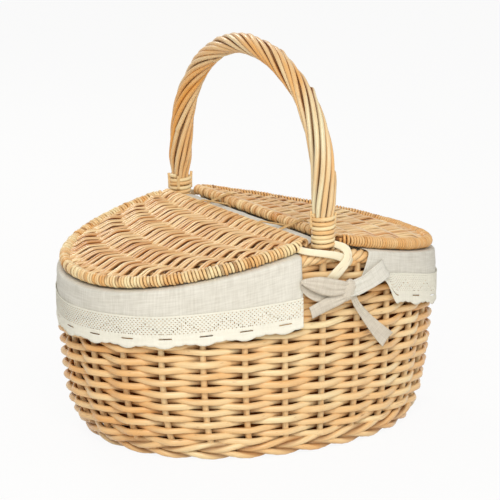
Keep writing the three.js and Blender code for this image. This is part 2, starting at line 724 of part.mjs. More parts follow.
// The left half of the bow: a leaf-shaped loop and a tail that hangs to the left
function tieLeft() {
  const at = (offset) => bowPoint(-1, offset);
  const top = at(new THREE.Vector2(0, TIE_ROOT));
  const foot = at(new THREE.Vector2(0, -TIE_ROOT));
  const leaf = [
    new THREE.QuadraticBezierCurve(top, at(LOOP_CROWN), at(LOOP_TIP)),
    new THREE.QuadraticBezierCurve(at(LOOP_TIP), at(LOOP_BELLY), at(LOOP_FORK)),
  ].flatMap((curve) => curve.getPoints(RIBBON_SEGMENTS).slice(1));
  return ribbon(new THREE.Shape([top, ...leaf, at(LEFT_TAIL_TIP), at(LEFT_TAIL_TOE), foot]));
}

// The right half: a loop drawn up to the flap's corner and a tail that flares to its end
function tieRight() {
  const at = (offset) => bowPoint(1, offset);
  const top = at(new THREE.Vector2(0, TIE_ROOT));
  const foot = at(new THREE.Vector2(0, -TIE_ROOT));
  const strap = [
    new THREE.QuadraticBezierCurve(at(LOOP_FORK), at(STRAP_BELLY), at(STRAP_TIP)),
    new THREE.QuadraticBezierCurve(at(STRAP_TIP), at(STRAP_CROWN), top),
  ].flatMap((curve) => curve.getPoints(RIBBON_SEGMENTS).slice(1));
  return ribbon(new THREE.Shape([foot, at(RIGHT_TAIL_TOE), at(RIGHT_TAIL_TIP), at(LOOP_FORK), ...strap]));
}

function knot() {
  return new THREE.BoxGeometry(KNOT_SIZE.x, KNOT_SIZE.y, KNOT_SIZE.z)
    .translate(KNOT_PLACE.x, -tieFace - KNOT_SIZE.y / 2, knotHeight);
}

const footWinding = lapping();

// What the front foot carries; the rear foot has the same, turned half round
function footPieces(name, rear) {
  const group = new THREE.Group();
  group.rotation.z = rear ? Math.PI : 0;
  const winding = piece(`handle_lapping_${name}`, footWinding, paleWillow);
  winding.position.set(0, -legPlace, lappingStart);
  const straps = piece(`cross_binding_${name}`, crossBinding(), paleWillow);
  straps.position.set(0, -BODY_HALF_WIDTH - CLEARANCE - STRAP_THICKNESS / 2, RIDGE_HEIGHT);
  group.add(
    winding,
    straps,
    piece(`${name}_tie_knot`, knot(), linen),
    piece(`${name}_tie_left`, tieLeft(), linen),
    piece(`${name}_tie_right`, tieRight(), linen),
  );
  return group;
}

// What lies on one half of the basket; the left half has the same, turned half round
function halfPieces(hand, tiePlace) {
  const group = new THREE.Group();
  group.rotation.z = hand === 'right' ? 0 : Math.PI;
  group.add(piece(`flap_${hand}`, flap(), linen), piece(`lace_${hand}`, lace(), ivory));
  [-tiePlace, tiePlace].forEach((y, i) => {
    const tie = piece(`hinge_tie_${hand}_${i + 1}`, hingeTie(), ivory);
    tie.position.y = y;
    group.add(tie);
  });
  return group;
}

const places = Array.from({ length: STAKE_PLACES }, (_, i) => i);
const stakePlaces = places.filter((place) => !isTang(place));
const tangCuts = [-1, 1].map((side) => tang(side, CLEARANCE));
const bow = join(rodAlong(handleLine(legFoot), BOW_DIAMETER, BOW_STEPS), tang(-1), tang(1));
const roping = rodAlong(handleLine(ropingFoot), HANDLE_DIAMETER, ROPING_STEPS, BOW_DIAMETER + 2 * ROPING_FIT);
const baseCut = solid(basePlate()).subtract(baseSticks(CLEARANCE));
const slath = baseSticks(0).intersect(solid(basePlate()));

const basket = new THREE.Group();
basket.add(
  piece('base_weave', geometryOf(baseCut), willow),
  piece('base_slath', geometryOf(slath), willow),
  piece('upsett_wale', upsettWale(), willow),
  piece('side_weave', sideWeave(), willow),
  ...stakePlaces.map((place, i) => piece(`side_stake_${String(i + 1).padStart(2, '0')}`, stake(place), willow)),
  piece('rim_border', rimBorder(tangCuts), willow),
  piece('bridge_bar', bridgeBar(), willow),
  piece('bridge_cover', bridgeCover(), linen),
  piece('handle_core', geometryOf(bow), willow),
  piece('handle_roping', roping, willow),
  piece('liner_bag', linerBag(), linen),
  footPieces('front', false),
  footPieces('rear', true),
  halfPieces('left', LEFT_TIE_PLACE),
  halfPieces('right', RIGHT_TIE_PLACE),
  lid(-1, 'left', LEFT_TIE_PLACE),
  lid(1, 'right', RIGHT_TIE_PLACE),
);

export default basket;
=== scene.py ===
"""A lidded willow picnic basket with an arched handle and a tied linen liner.

Lengths are millimetres until a mesh is made. +Z is up, X runs along the basket, the handle stands in the YZ
plane and the front is at -Y.
"""
import logging
from dataclasses import dataclass, replace
from enum import Enum
from math import cos, pi, radians, sin, tan
from typing import Any, Sequence

import bpy
import numpy as np
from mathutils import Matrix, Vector


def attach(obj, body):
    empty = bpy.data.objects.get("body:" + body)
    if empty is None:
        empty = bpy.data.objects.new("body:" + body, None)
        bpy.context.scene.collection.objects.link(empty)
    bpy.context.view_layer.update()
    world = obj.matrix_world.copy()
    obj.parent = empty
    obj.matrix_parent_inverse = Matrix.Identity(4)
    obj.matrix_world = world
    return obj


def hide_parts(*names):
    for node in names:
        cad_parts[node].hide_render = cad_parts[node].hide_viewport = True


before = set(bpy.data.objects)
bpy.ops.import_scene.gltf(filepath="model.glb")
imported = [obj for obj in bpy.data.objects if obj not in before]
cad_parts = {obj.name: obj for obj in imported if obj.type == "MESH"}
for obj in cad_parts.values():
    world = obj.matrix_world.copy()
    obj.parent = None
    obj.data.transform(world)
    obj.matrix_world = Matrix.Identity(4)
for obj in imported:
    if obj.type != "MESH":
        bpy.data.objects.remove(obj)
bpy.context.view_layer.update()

MM = 0.001
UP = np.array([0.0, 0.0, 1.0])
FRONT = np.array([0.0, -1.0, 0.0])
RIGHT = np.array([1.0, 0.0, 0.0])
HALF_TURN = np.diag([-1.0, -1.0, 1.0])
WHITE = (1.0, 1.0, 1.0, 1.0)
# A rod starts anywhere in this length of grain.
GRAIN = 900.0
# Share of a cosine whose arcsine is taken, short of 1 so that the bends stay round.
BENDS = 0.97
LOG = logging.getLogger("basket")

Array = np.ndarray
Colour = tuple[int, int, int]


class Slot(Enum):
    """The record's material slots."""

    BODY = "body_willow"
    HANDLE = "handle_willow"
    BINDING = "binding_willow"
    LID = "lid_willow"
    LINEN = "linen"
    LACE = "lace"
    TIE = "tie_cord"


class Body(Enum):
    """The bodies that pieces ride on."""

    BASKET = "basket"
    LEFT_LID = "lid_left"
    RIGHT_LID = "lid_right"


def unit(vectors: Array) -> Array:
    """Vectors divided by their lengths."""
    return vectors / np.maximum(np.linalg.norm(vectors, axis=-1, keepdims=True), 1e-9)


def smooth(value: Array, start: float, end: float) -> Array:
    """Share from 0 at start to 1 at end, level at both: 3 s^2 - 2 s^3."""
    share = np.clip((np.asarray(value, float) - start) / (end - start), 0.0, 1.0)
    return share * share * (3.0 - 2.0 * share)


def zigzag(cosine: Array) -> Array:
    """A cosine drawn straight between its bends: the arcsine of nearly all of it."""
    return np.arcsin(BENDS * cosine) / np.arcsin(BENDS)


def drawn_out(value: Array, power: float) -> Array:
    """The sign of a value times its size to a power, which draws a sine or cosine out towards a box."""
    return np.sign(value) * np.abs(value) ** power


def stacked(*parts: Array | float) -> Array:
    """Numbers broadcast together and set side by side along a last axis."""
    return np.stack(np.broadcast_arrays(*parts), axis=-1)


def spun(angle: Array, side: Array, up: Array) -> Array:
    """Directions at angles from side towards up: cos a * side + sin a * up."""
    return np.cos(angle)[..., None] * side + np.sin(angle)[..., None] * up


def travelled(points: Array) -> Array:
    """Length along a line, or along each of several lines, up to each of its points."""
    step = np.diff(points, axis=-2, prepend=points[..., :1, :])
    return np.cumsum(np.linalg.norm(step, axis=-1), axis=-1)


def waver(rng: np.random.Generator, rows: int, along: Array, waves: Sequence[float], size: float) -> Array:
    """A slow drift for each row: a sum of sines along the row, each with a phase and strength of its own.

    Args:
        rng: Source of the phases and strengths.
        rows: Number of rows.
        along: Place along each row, in turns, of shape (steps,) or (rows, steps).
        waves: Waves per unit of along.
        size: Usual size of the drift.

    Returns:
        Drift of shape (rows, steps).
    """
    phase = rng.uniform(0.0, 2.0 * pi, (rows, len(waves), 1))
    strength = rng.normal(0.0, size, (rows, len(waves), 1))
    angle = 2.0 * pi * np.asarray(waves)[None, :, None] * np.atleast_2d(along)[:, None, :]
    return (strength * np.sin(angle + phase)).sum(1)


def resampled(line: Array, count: int, closed: bool = False) -> Array:
    """A polyline's points set out again at even spacing.

    Args:
        line: Points of shape (n, dims).
        count: Number of new points.
        closed: Whether the last point joins the first.

    Returns:
        Points of shape (count, dims).
    """
    whole = np.concatenate([line, line[:1]]) if closed else line
    length = travelled(whole)
    at = np.linspace(0.0, length[-1], count, endpoint=not closed)
    return np.stack([np.interp(at, length, whole[:, i]) for i in range(whole.shape[1])], axis=1)


def curve(points: Sequence[Sequence[float]], count: int) -> Array:
    """A smooth line through points: cubics between them, each slope half the step between the neighbours.

    Args:
        points: Points of shape (n, dims).
        count: Number of points on the line.

    Returns:
        Points of shape (count, dims).
    """
    knots = np.asarray(points, float)
    padded = np.concatenate([[2 * knots[0] - knots[1]], knots, [2 * knots[-1] - knots[-2]]])
    at = np.linspace(0.0, len(knots) - 1.0, count)
    first = np.minimum(at.astype(int), len(knots) - 2)
    s = (at - first)[:, None]
    a, b, c, d = (padded[first + i] for i in range(4))
    return b + 0.5 * s * (c - a + s * (2 * a - 5 * b + 4 * c - d + s * (3 * (b - c) + d - a)))


@dataclass
class Surface:
    """The points and faces of one mesh, with what its finish reads.

    grain is a rod's place round and along its length, or a cloth's place along and across its threads. tone
    is a rod's own colour from 0 to 1, and shade is painted shade, the darker the deeper it lies in the weave.
    """

    points: Array
    faces: list[Array]
    grain: Array
    tone: Array
    shade: Array

    @classmethod
    def joined(cls, parts: Sequence["Surface"]) -> "Surface":
        """Several surfaces as one."""
        starts = np.cumsum([0] + [len(part.points) for part in parts[:-1]])
        return cls(
            np.concatenate([part.points for part in parts]),
            [block + start for part, start in zip(parts, starts) for block in part.faces],
            *(np.concatenate([getattr(part, name) for part in parts]) for name in ("grain", "tone", "shade")),
        )

    def placed(self, turn: Array, shift: Sequence[float] = (0.0, 0.0, 0.0)) -> "Surface":
        """The same surface turned by a matrix and then shifted."""
        return replace(self, points=self.points @ np.asarray(turn).T + np.asarray(shift))

    def flipped(self) -> "Surface":
        """The same surface facing the other way."""
        return replace(self, faces=[block[:, ::-1] for block in self.faces])

    def area(self) -> float:
        """The area of its four-sided faces in square metres, half the cross product of the diagonals."""
        quads = np.concatenate([block for block in self.faces if block.shape[1] == 4])
        a, b, c, d = (self.points[quads[:, i]] for i in range(4))
        return float(np.linalg.norm(np.cross(c - a, d - b), axis=1).sum() / 2) * MM * MM

    def piece(
        self,
        name: str,
        finish: "Finish",
        nodes: Sequence[str],
        thickness: float = 0.0,
        body: Body = Body.BASKET,
    ) -> bpy.types.Object:
        """Make the surface an object that rides on a body.

        Args:
            name: The object's name.
            finish: Its finish.
            nodes: The CAD nodes that it stands for, if any.
            thickness: Thickness that a sheet is given, half on each side of its surface.
            body: The body that carries it.

        Returns:
            The object.
        """
        mesh = bpy.data.meshes.new(name)
        faces = [face for block in self.faces for face in block.tolist()]
        mesh.from_pydata((self.points * MM).tolist(), [], faces)
        rounded = np.concatenate([np.full(len(block), block.shape[1] <= 4) for block in self.faces])
        mesh.polygons.foreach_set("use_smooth", rounded)
        mesh.attributes.new("grain", "FLOAT_VECTOR", "POINT").data.foreach_set("vector", self.grain.ravel())
        for key, values in (("tone", self.tone), ("shade", self.shade)):
            mesh.attributes.new(key, "FLOAT", "POINT").data.foreach_set("value", values.ravel())
        mesh.materials.append(finish.material())
        item = bpy.data.objects.new(name, mesh)
        bpy.context.scene.collection.objects.link(item)
        if thickness:
            solidify = item.modifiers.new("cloth", "SOLIDIFY")
            solidify.thickness = thickness * MM
            solidify.offset = 0.0
        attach(item, body.value)
        if nodes:
            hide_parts(*nodes)
        LOG.info("%s: %d faces on %s", name, len(mesh.polygons), body.value)
        return item


def tubes(
    paths: Array,
    toward: Array,
    radius: Array | float,
    sides: int = 8,
    closed: bool = False,
    tone: Array | float = 0.5,
    shade: Array | float = 0.0,
    section: tuple[Array | float, Array | float] = (1.0, 1.0),
    start: Array | float = 0.0,
    groove: float = 0.0,
    seam: Array | float = 0.0,
) -> Surface:
    """Rods along paths: each point of the path plus radius * (cos a * side + sin a * up).

    Args:
        paths: Centrelines of shape (rods, steps, 3) or (steps, 3).
        toward: Direction that up leans to, squared to the path.
        radius: Radius along the rods.
        sides: Sides of the section.
        closed: Whether each path joins its own start.
        tone: Colour of each rod or point.
        shade: Painted shade of each point, from its depth in the weave.
        section: Share of the radius across and towards up.
        start: Length along the grain at which each rod starts.
        groove: Painted shade added to the sides that face away from up.
        seam: Painted shade added to the two sides square to up, one for all or of shape (steps, 1).

    Returns:
        The rods as one surface.
    """
    paths = np.asarray(paths, float).reshape((-1,) + np.shape(paths)[-2:])
    rods, steps = paths.shape[:2]
    ahead = np.roll(paths, -1, 1) - np.roll(paths, 1, 1) if closed else np.gradient(paths, axis=1)
    ahead = unit(ahead)
    up = np.broadcast_to(toward, paths.shape)
    up = unit(up - (up * ahead).sum(-1, keepdims=True) * ahead)
    side = np.cross(ahead, up)
    angle = 2.0 * pi * np.arange(sides) / sides
    wide, high = (
        np.broadcast_to(radius * share, (rods, steps))[..., None] * turn
        for share, turn in zip(section, (np.cos(angle), np.sin(angle)))
    )
    points = paths[:, :, None] + wide[..., None] * side[:, :, None] + high[..., None] * up[:, :, None]
    along = travelled(paths) + np.broadcast_to(start, (rods,))[:, None]
    grain = stacked(wide, high, along[:, :, None])
    number = np.arange(rods * steps * sides).reshape(rods, steps, sides)
    near = number if closed else number[:, :-1]
    far = np.roll(number, -1, 1) if closed else number[:, 1:]
    quads = stacked(near, far, np.roll(far, -1, 2), np.roll(near, -1, 2)).reshape(-1, 4)
    caps = [] if closed else [number[:, 0], number[:, -1, ::-1]]
    spread = (np.reshape(value, np.shape(value) + (1,) * (3 - np.ndim(value))) for value in (tone, shade))
    tones, shades = (np.broadcast_to(value, (rods, steps, sides)) for value in spread)
    facing = np.sin(angle)
    # Painted shade in the grooves and along the sides where neighbouring rods meet.
    lines = groove * smooth(-facing, -0.5, 0.5) + seam * (1.0 - smooth(np.abs(facing), 0.1, 0.6))
    shades = np.clip(shades + lines, 0.0, 1.0)
    return Surface(
        points.reshape(-1, 3), [quads, *caps], grain.reshape(-1, 3), tones.ravel(), shades.ravel()
    )


def rope(
    centre: Array,
    toward: Array,
    strands: int,
    turns: int,
    lay: float,
    radius: float,
    rng: np.random.Generator,
) -> Surface:
    """Strands laid round a closed line: centre + lay * (cos a * side + sin a * up), a growing by turns.

    Args:
        centre: Closed line of shape (steps, 3).
        toward: Direction of up, of shape (steps, 3).
        strands: Number of strands.
        turns: Whole turns that each strand makes.
        lay: Distance of the strands from the line.
        radius: Radius of a strand.
        rng: Source of the strands' tones.

    Returns:
        The rope as one surface.
    """
    run = np.arange(len(centre)) / len(centre)
    ahead = unit(np.roll(centre, -1, 0) - np.roll(centre, 1, 0))
    up = unit(toward - (toward * ahead).sum(-1, keepdims=True) * ahead)
    side = np.cross(ahead, up)
    angle = 2.0 * pi * (turns * run + np.arange(strands)[:, None] / strands)
    out = spun(angle, side, up)
    tone = 0.45 + waver(rng, strands, run, (3, 7, 16), 0.18)
    start = rng.uniform(0, GRAIN, strands)
    return tubes(centre + lay * out, out, radius, 7, True, tone, start=start, groove=0.6)


def grid(points: Array, grain: Array, closed: bool = False, keep: Array | None = None) -> Surface:
    """A sheet over a grid of points, facing along the cross product of its first and second directions.

    Args:
        points: Points of shape (first, second, 3).
        grain: Place on the cloth of shape (first, second, 2).
        closed: Whether the first direction joins its own start.
        keep: Which four-sided faces are kept.

    Returns:
        The sheet.
    """
    first, second = points.shape[:2]
    number = np.arange(first * second).reshape(first, second)
    near = number if closed else number[:-1]
    far = np.roll(number, -1, 0) if closed else number[1:]
    quads = stacked(near[:, :-1], far[:, :-1], far[:, 1:], near[:, 1:])
    quads = quads.reshape(-1, 4) if keep is None else quads[keep]
    count = first * second
    flat = np.concatenate([grain.reshape(-1, 2), np.zeros((count, 1))], axis=1)
    return Surface(points.reshape(-1, 3), [quads], flat, np.full(count, 0.5), np.zeros(count))


class Value:
    """A socket of a node tree, so that shader maths is written as an expression."""

    def __init__(self, tree: "Tree", socket: bpy.types.NodeSocket) -> None:
        """Keep the tree and the socket."""
        self.tree = tree
        self.socket = socket

    def _math(self, operation: str, first: Any, second: Any) -> "Value":
        """A Math node on two values."""
        return self.tree.node("ShaderNodeMath", {"operation": operation}, {0: first, 1: second})

    def __add__(self, other: Any) -> "Value":
        """Sum."""
        return self._math("ADD", self, other)

    __radd__ = __add__

    def __sub__(self, other: Any) -> "Value":
        """Difference."""
        return self._math("SUBTRACT", self, other)

    def __rsub__(self, other: Any) -> "Value":
        """Difference from a number."""
        return self._math("SUBTRACT", other, self)

    def __mul__(self, other: Any) -> "Value":
        """Product."""
        return self._math("MULTIPLY", self, other)

    __rmul__ = __mul__

    def between(self, low: float, high: float) -> "Value":
        """Share from 0 at low to 1 at high, held within them."""
        limits = {"From Min": low, "From Max": high, "To Min": 0.0, "To Max": 1.0}
        return self.tree.node("ShaderNodeMapRange", {"clamp": True}, {"Value": self, **limits})


class Tree:
    """The node tree of one material or world."""

    def __init__(self, owner: Any) -> None:
        """Empty the owner's node tree and keep it."""
        owner.use_nodes = True
        self.nodes = owner.node_tree.nodes
        self.links = owner.node_tree.links
        self.nodes.clear()

    def node(
        self,
        kind: str,
        settings: dict[str, Any] | None = None,
        inputs: dict[str | int, Any] | None = None,
        output: str | int = 0,
    ) -> Value:
        """Add a node.

        Args:
            kind: The node's type.
            settings: Its settings, set first.
            inputs: Numbers, colours or links of its sockets.
            output: The socket to give back.

        Returns:
            The output socket, wrapped.
        """
        node = self.nodes.new(kind)
        for name, setting in (settings or {}).items():
            setattr(node, name, setting)
        for name, given in (inputs or {}).items():
            if isinstance(given, Value):
                self.links.new(given.socket, node.inputs[name])
            else:
                node.inputs[name].default_value = given
        return Value(self, node.outputs[output] if node.outputs else None)

    def attribute(self, name: str, output: str = "Fac") -> Value:
        """A mesh attribute."""
        return self.node("ShaderNodeAttribute", {"attribute_name": name}, output=output)

    def mix(self, share: Any, first: Any, second: Any) -> Value:
        """Two colours mixed."""
        return self.node("ShaderNodeMix", {"data_type": "RGBA"}, {0: share, 6: first, 7: second}, 2)

    def stretched(self, vector: Value, scale: Sequence[float]) -> Value:
        """A vector times a scale."""
        return self.node("ShaderNodeVectorMath", {"operation": "MULTIPLY"}, {0: vector, 1: scale})

    def noise(self, vector: Value, scale: Sequence[float], detail: float = 2.0) -> Value:
        """Noise on a scaled vector, about 0.5."""
        place = self.stretched(vector, scale)
        return self.node("ShaderNodeTexNoise", None, {"Vector": place, "Scale": 1.0, "Detail": detail})

    def surface(self, inputs: dict[str | int, Any]) -> None:
        """End the tree in one Principled shader."""
        shader = self.node("ShaderNodeBsdfPrincipled", None, inputs)
        self.node("ShaderNodeOutputMaterial", None, {"Surface": shader})


def linear(colour: Colour) -> tuple[float, float, float, float]:
    """A colour of 0 to 255 as the numbers that light adds up in."""
    share = np.asarray(colour) / 255.0
    red, green, blue = np.where(share <= 0.04045, share / 12.92, ((share + 0.055) / 1.055) ** 2.4)
    return float(red), float(green), float(blue), 1.0


@dataclass(frozen=True)
class Finish:
    """A named finish, made a material once."""

    name: str
    slot: Slot

    def material(self) -> bpy.types.Material:
        """The finish's material."""
        made = bpy.data.materials.get(self.name)
        if made is None:
            made = bpy.data.materials.new(self.name)
            self.dress(Tree(made))
        return made

    def dress(self, tree: Tree) -> None:
        """Build the finish's nodes."""
        raise NotImplementedError


@dataclass(frozen=True)
class Willow(Finish):
    """Peeled willow: streaks and blotches along the rod, a few brown flecks, and painted shade deep in the
    weave.
    """

    light: Colour = (251, 232, 186)
    deep: Colour = (235, 177, 108)
    fleck: Colour = (141, 84, 40)
    # Colour of the painted shade deep in the weave.
    shade_colour: Colour = (122, 60, 14)
    roughness: float = 0.42
    coat: float = 0.55

    def dress(self, tree: Tree) -> None:
        """Mix the rod's tone with noise along its grain, then darken it towards the painted shade colour by
        its shade.
        """
        grain = tree.attribute("grain", "Vector")
        mottle = tree.noise(grain, (0.12, 0.12, 0.017), 3.0)
        streak = tree.noise(grain, (1.1, 1.1, 0.03), 3.0)
        spots = tree.noise(grain, (0.35, 0.35, 0.075), 2.0).between(0.66, 0.78)
        share = (tree.attribute("tone") * 0.8 + mottle * 1.3 - 0.55).between(0.0, 1.0)
        rod = tree.mix(share, linear(self.light), linear(self.deep))
        rod = tree.mix(streak.between(0.45, 0.8) * 0.4, rod, linear(self.deep))
        rod = tree.mix(spots * 0.5, rod, linear(self.fleck))
        # Painted shade: the rod mixed towards the shade colour by the shade attribute.
        rod = tree.mix(tree.attribute("shade"), rod, linear(self.shade_colour))
        bump = tree.node(
            "ShaderNodeBump", None, {"Height": streak, "Strength": 0.25, "Distance": 0.4 * MM}
        )
        tree.surface({
            "Base Color": rod,
            "Roughness": streak * 0.25 + (self.roughness - 0.12),
            # The coat is taken away where shade is painted, so the painted shade shows no gloss.
            "Coat Weight": (1.0 - tree.attribute("shade")) * self.coat,
            "Coat Roughness": 0.25,
            "Specular IOR Level": 0.1,
            "Normal": bump,
        })


@dataclass(frozen=True)
class Cloth(Finish):
    """Plain woven cloth: crossed threads of uneven thickness, mixed towards a painted shade colour by its
    shade.
    """

    warm: Colour = (236, 234, 225)
    cool: Colour = (214, 211, 200)
    # Colour of painted shade, where the shade attribute is set.
    shadow_colour: Colour = (140, 76, 26)
    thread: float = 0.9
    relief: float = 0.25

    def dress(self, tree: Tree) -> None:
        """Two sets of threads as sines of the cloth's place, with slubs from noise drawn out along each."""
        grain = tree.attribute("grain", "Vector")
        slub = tree.noise(grain, (0.5 / self.thread, 0.05, 1.0), 3.0)
        weft = tree.noise(grain, (0.05, 0.5 / self.thread, 1.0), 3.0)
        blotch = tree.noise(grain, (0.03, 0.03, 1.0), 3.0)
        turn = 2.0 * pi / self.thread
        part = tree.node("ShaderNodeSeparateXYZ", None, {0: tree.stretched(grain, (turn, turn, 1.0))})
        split = part.socket.node.outputs
        crossing = [
            tree.node("ShaderNodeMath", {"operation": "SINE"}, {0: Value(tree, split[i])}) for i in (0, 1)
        ]
        weave = crossing[0] * crossing[1]
        share = (slub * 1.5 + weft * 1.5 + blotch * 0.5 - 1.25).between(0.0, 1.0)
        cloth = tree.mix(share, linear(self.warm), linear(self.cool))
        # Painted shade: the cloth mixed towards the shade colour by the shade attribute.
        cloth = tree.mix(tree.attribute("shade"), cloth, linear(self.shadow_colour))
        height = weave * 0.5 + slub + weft
        bump = tree.node(
            "ShaderNodeBump", None, {"Height": height, "Strength": self.relief, "Distance": 0.5 * MM}
        )
        tree.surface({
            "Base Color": cloth,
            "Roughness": 0.92,
            "Specular IOR Level": 0.15,
            "Normal": bump,
        })


BODY_WILLOW = Willow("body willow", Slot.BODY)
HANDLE_WILLOW = Willow("handle willow", Slot.HANDLE, light=(236, 227, 190), deep=(237, 174, 92))
BINDING_WILLOW = Willow("binding willow", Slot.BINDING, light=(250, 232, 184), deep=(233, 179, 110))
STRAP_WILLOW = Willow("strap willow", Slot.BINDING, light=(252, 245, 220), deep=(243, 228, 190), coat=0.3)
LID_WILLOW = Willow("lid willow", Slot.LID, light=(255, 227, 172), deep=(212, 151, 84), coat=0.8)
LINEN = Cloth("liner linen", Slot.LINEN)
LACE = Cloth("lace edging", Slot.LACE, warm=(252, 250, 237), cool=(242, 240, 226), thread=1.3, relief=0.4)
TIE_LINEN = Cloth("tie linen", Slot.LINEN, warm=(229, 222, 208), cool=(206, 197, 182))
TIE_CORD = Cloth("tie cord", Slot.TIE, warm=(222, 188, 136), cool=(206, 166, 112), thread=0.6)


@dataclass(frozen=True)
class BodyForm:
    """The flared oval that the wall, the border and the liner are set out on."""

    half_length: float = 202.0
    half_width: float = 149.0
    end_flare: float = 47.0
    side_flare: float = 11.0
    oval_power: float = 2.2
    flare_height: float = 170.0
    flare_power: float = 2.8
    wall: float = 16.0
    ridge: float = 206.0
    hinge_offset: float = 19.5
    slope: float = radians(11.9)
    fine_steps: int = 4000

    def rounded(self, value: Array) -> Array:
        """A sine or cosine drawn out towards a box: the sign times the size to the power 2 / oval_power."""
        return drawn_out(value, 2.0 / self.oval_power)

    def oval(self, t: Array, half_length: Array | float, half_width: Array | float) -> tuple[Array, Array]:
        """Plan of the oval at a parameter that runs from the front foot round by the right end."""
        angle = pi * (2.0 * np.asarray(t) - 0.5)
        return half_length * self.rounded(np.cos(angle)), half_width * self.rounded(np.sin(angle))

    def rim(self) -> tuple[Array, Array]:
        """Length along the rim at fine steps of the oval's parameter."""
        fine = np.linspace(0.0, 1.0, self.fine_steps + 1)
        x, y = self.oval(fine, self.half_length, self.half_width)
        return fine, np.concatenate([[0.0], np.cumsum(np.hypot(np.diff(x), np.diff(y)))])

    def length(self) -> float:
        """Length of the rim."""
        return float(self.rim()[1][-1])

    def place(self, run: Array) -> Array:
        """The oval's parameter at a share of the rim's length."""
        fine, length = self.rim()
        whole = np.floor(run)
        return whole + np.interp(run - whole, length / length[-1], fine)

    def outward(self, run: Array) -> Array:
        """Outward direction in plan, the slope of the oval's equation."""
        x, y = self.oval(self.place(np.asarray(run, float)), self.half_length, self.half_width)
        power = self.oval_power - 1.0
        steep_x = drawn_out(x / self.half_length, power) / self.half_length
        steep_y = drawn_out(y / self.half_width, power) / self.half_width
        return unit(stacked(steep_x, steep_y, 0.0))

    def point(self, run: Array, depth: Array | float, z: Array | float) -> Array:
        """A point of the wall: the oval widened by the flare at its height, less depth along the way out.

        Args:
            run: Share of the rim's length from the front foot.
            depth: Depth behind the outer face.
            z: Height.

        Returns:
            Points of the broadcast shape and 3.
        """
        run, depth, z = np.broadcast_arrays(np.asarray(run, float), depth, z)
        rest = 1.0 - np.clip(z / self.flare_height, 0.0, 1.0)
        missing = 1.0 - (1.0 - rest**self.flare_power) ** (1.0 / self.flare_power)
        half_length = self.half_length - self.end_flare * missing
        half_width = self.half_width - self.side_flare * missing
        x, y = self.oval(self.place(run), half_length, half_width)
        return stacked(x, y, z) - depth[..., None] * self.outward(run)

    def x(self, run: Array) -> Array:
        """X of the rim at a share of its length."""
        return self.oval(self.place(np.asarray(run, float)), self.half_length, self.half_width)[0]

    def rim_top(self, run: Array) -> Array:
        """Height of the border's top, level at the handle and falling to the ends with the lids."""
        return self.ridge - tan(self.slope) * np.maximum(np.abs(self.x(run)) - self.hinge_offset, 0.0)

    def run_at(self, x: float) -> float:
        """Share of the rim's length from the front foot to a place along X on the right."""
        runs = np.linspace(0.0, 0.25, self.fine_steps // 4 + 1)
        return float(np.interp(x, self.x(runs), runs))


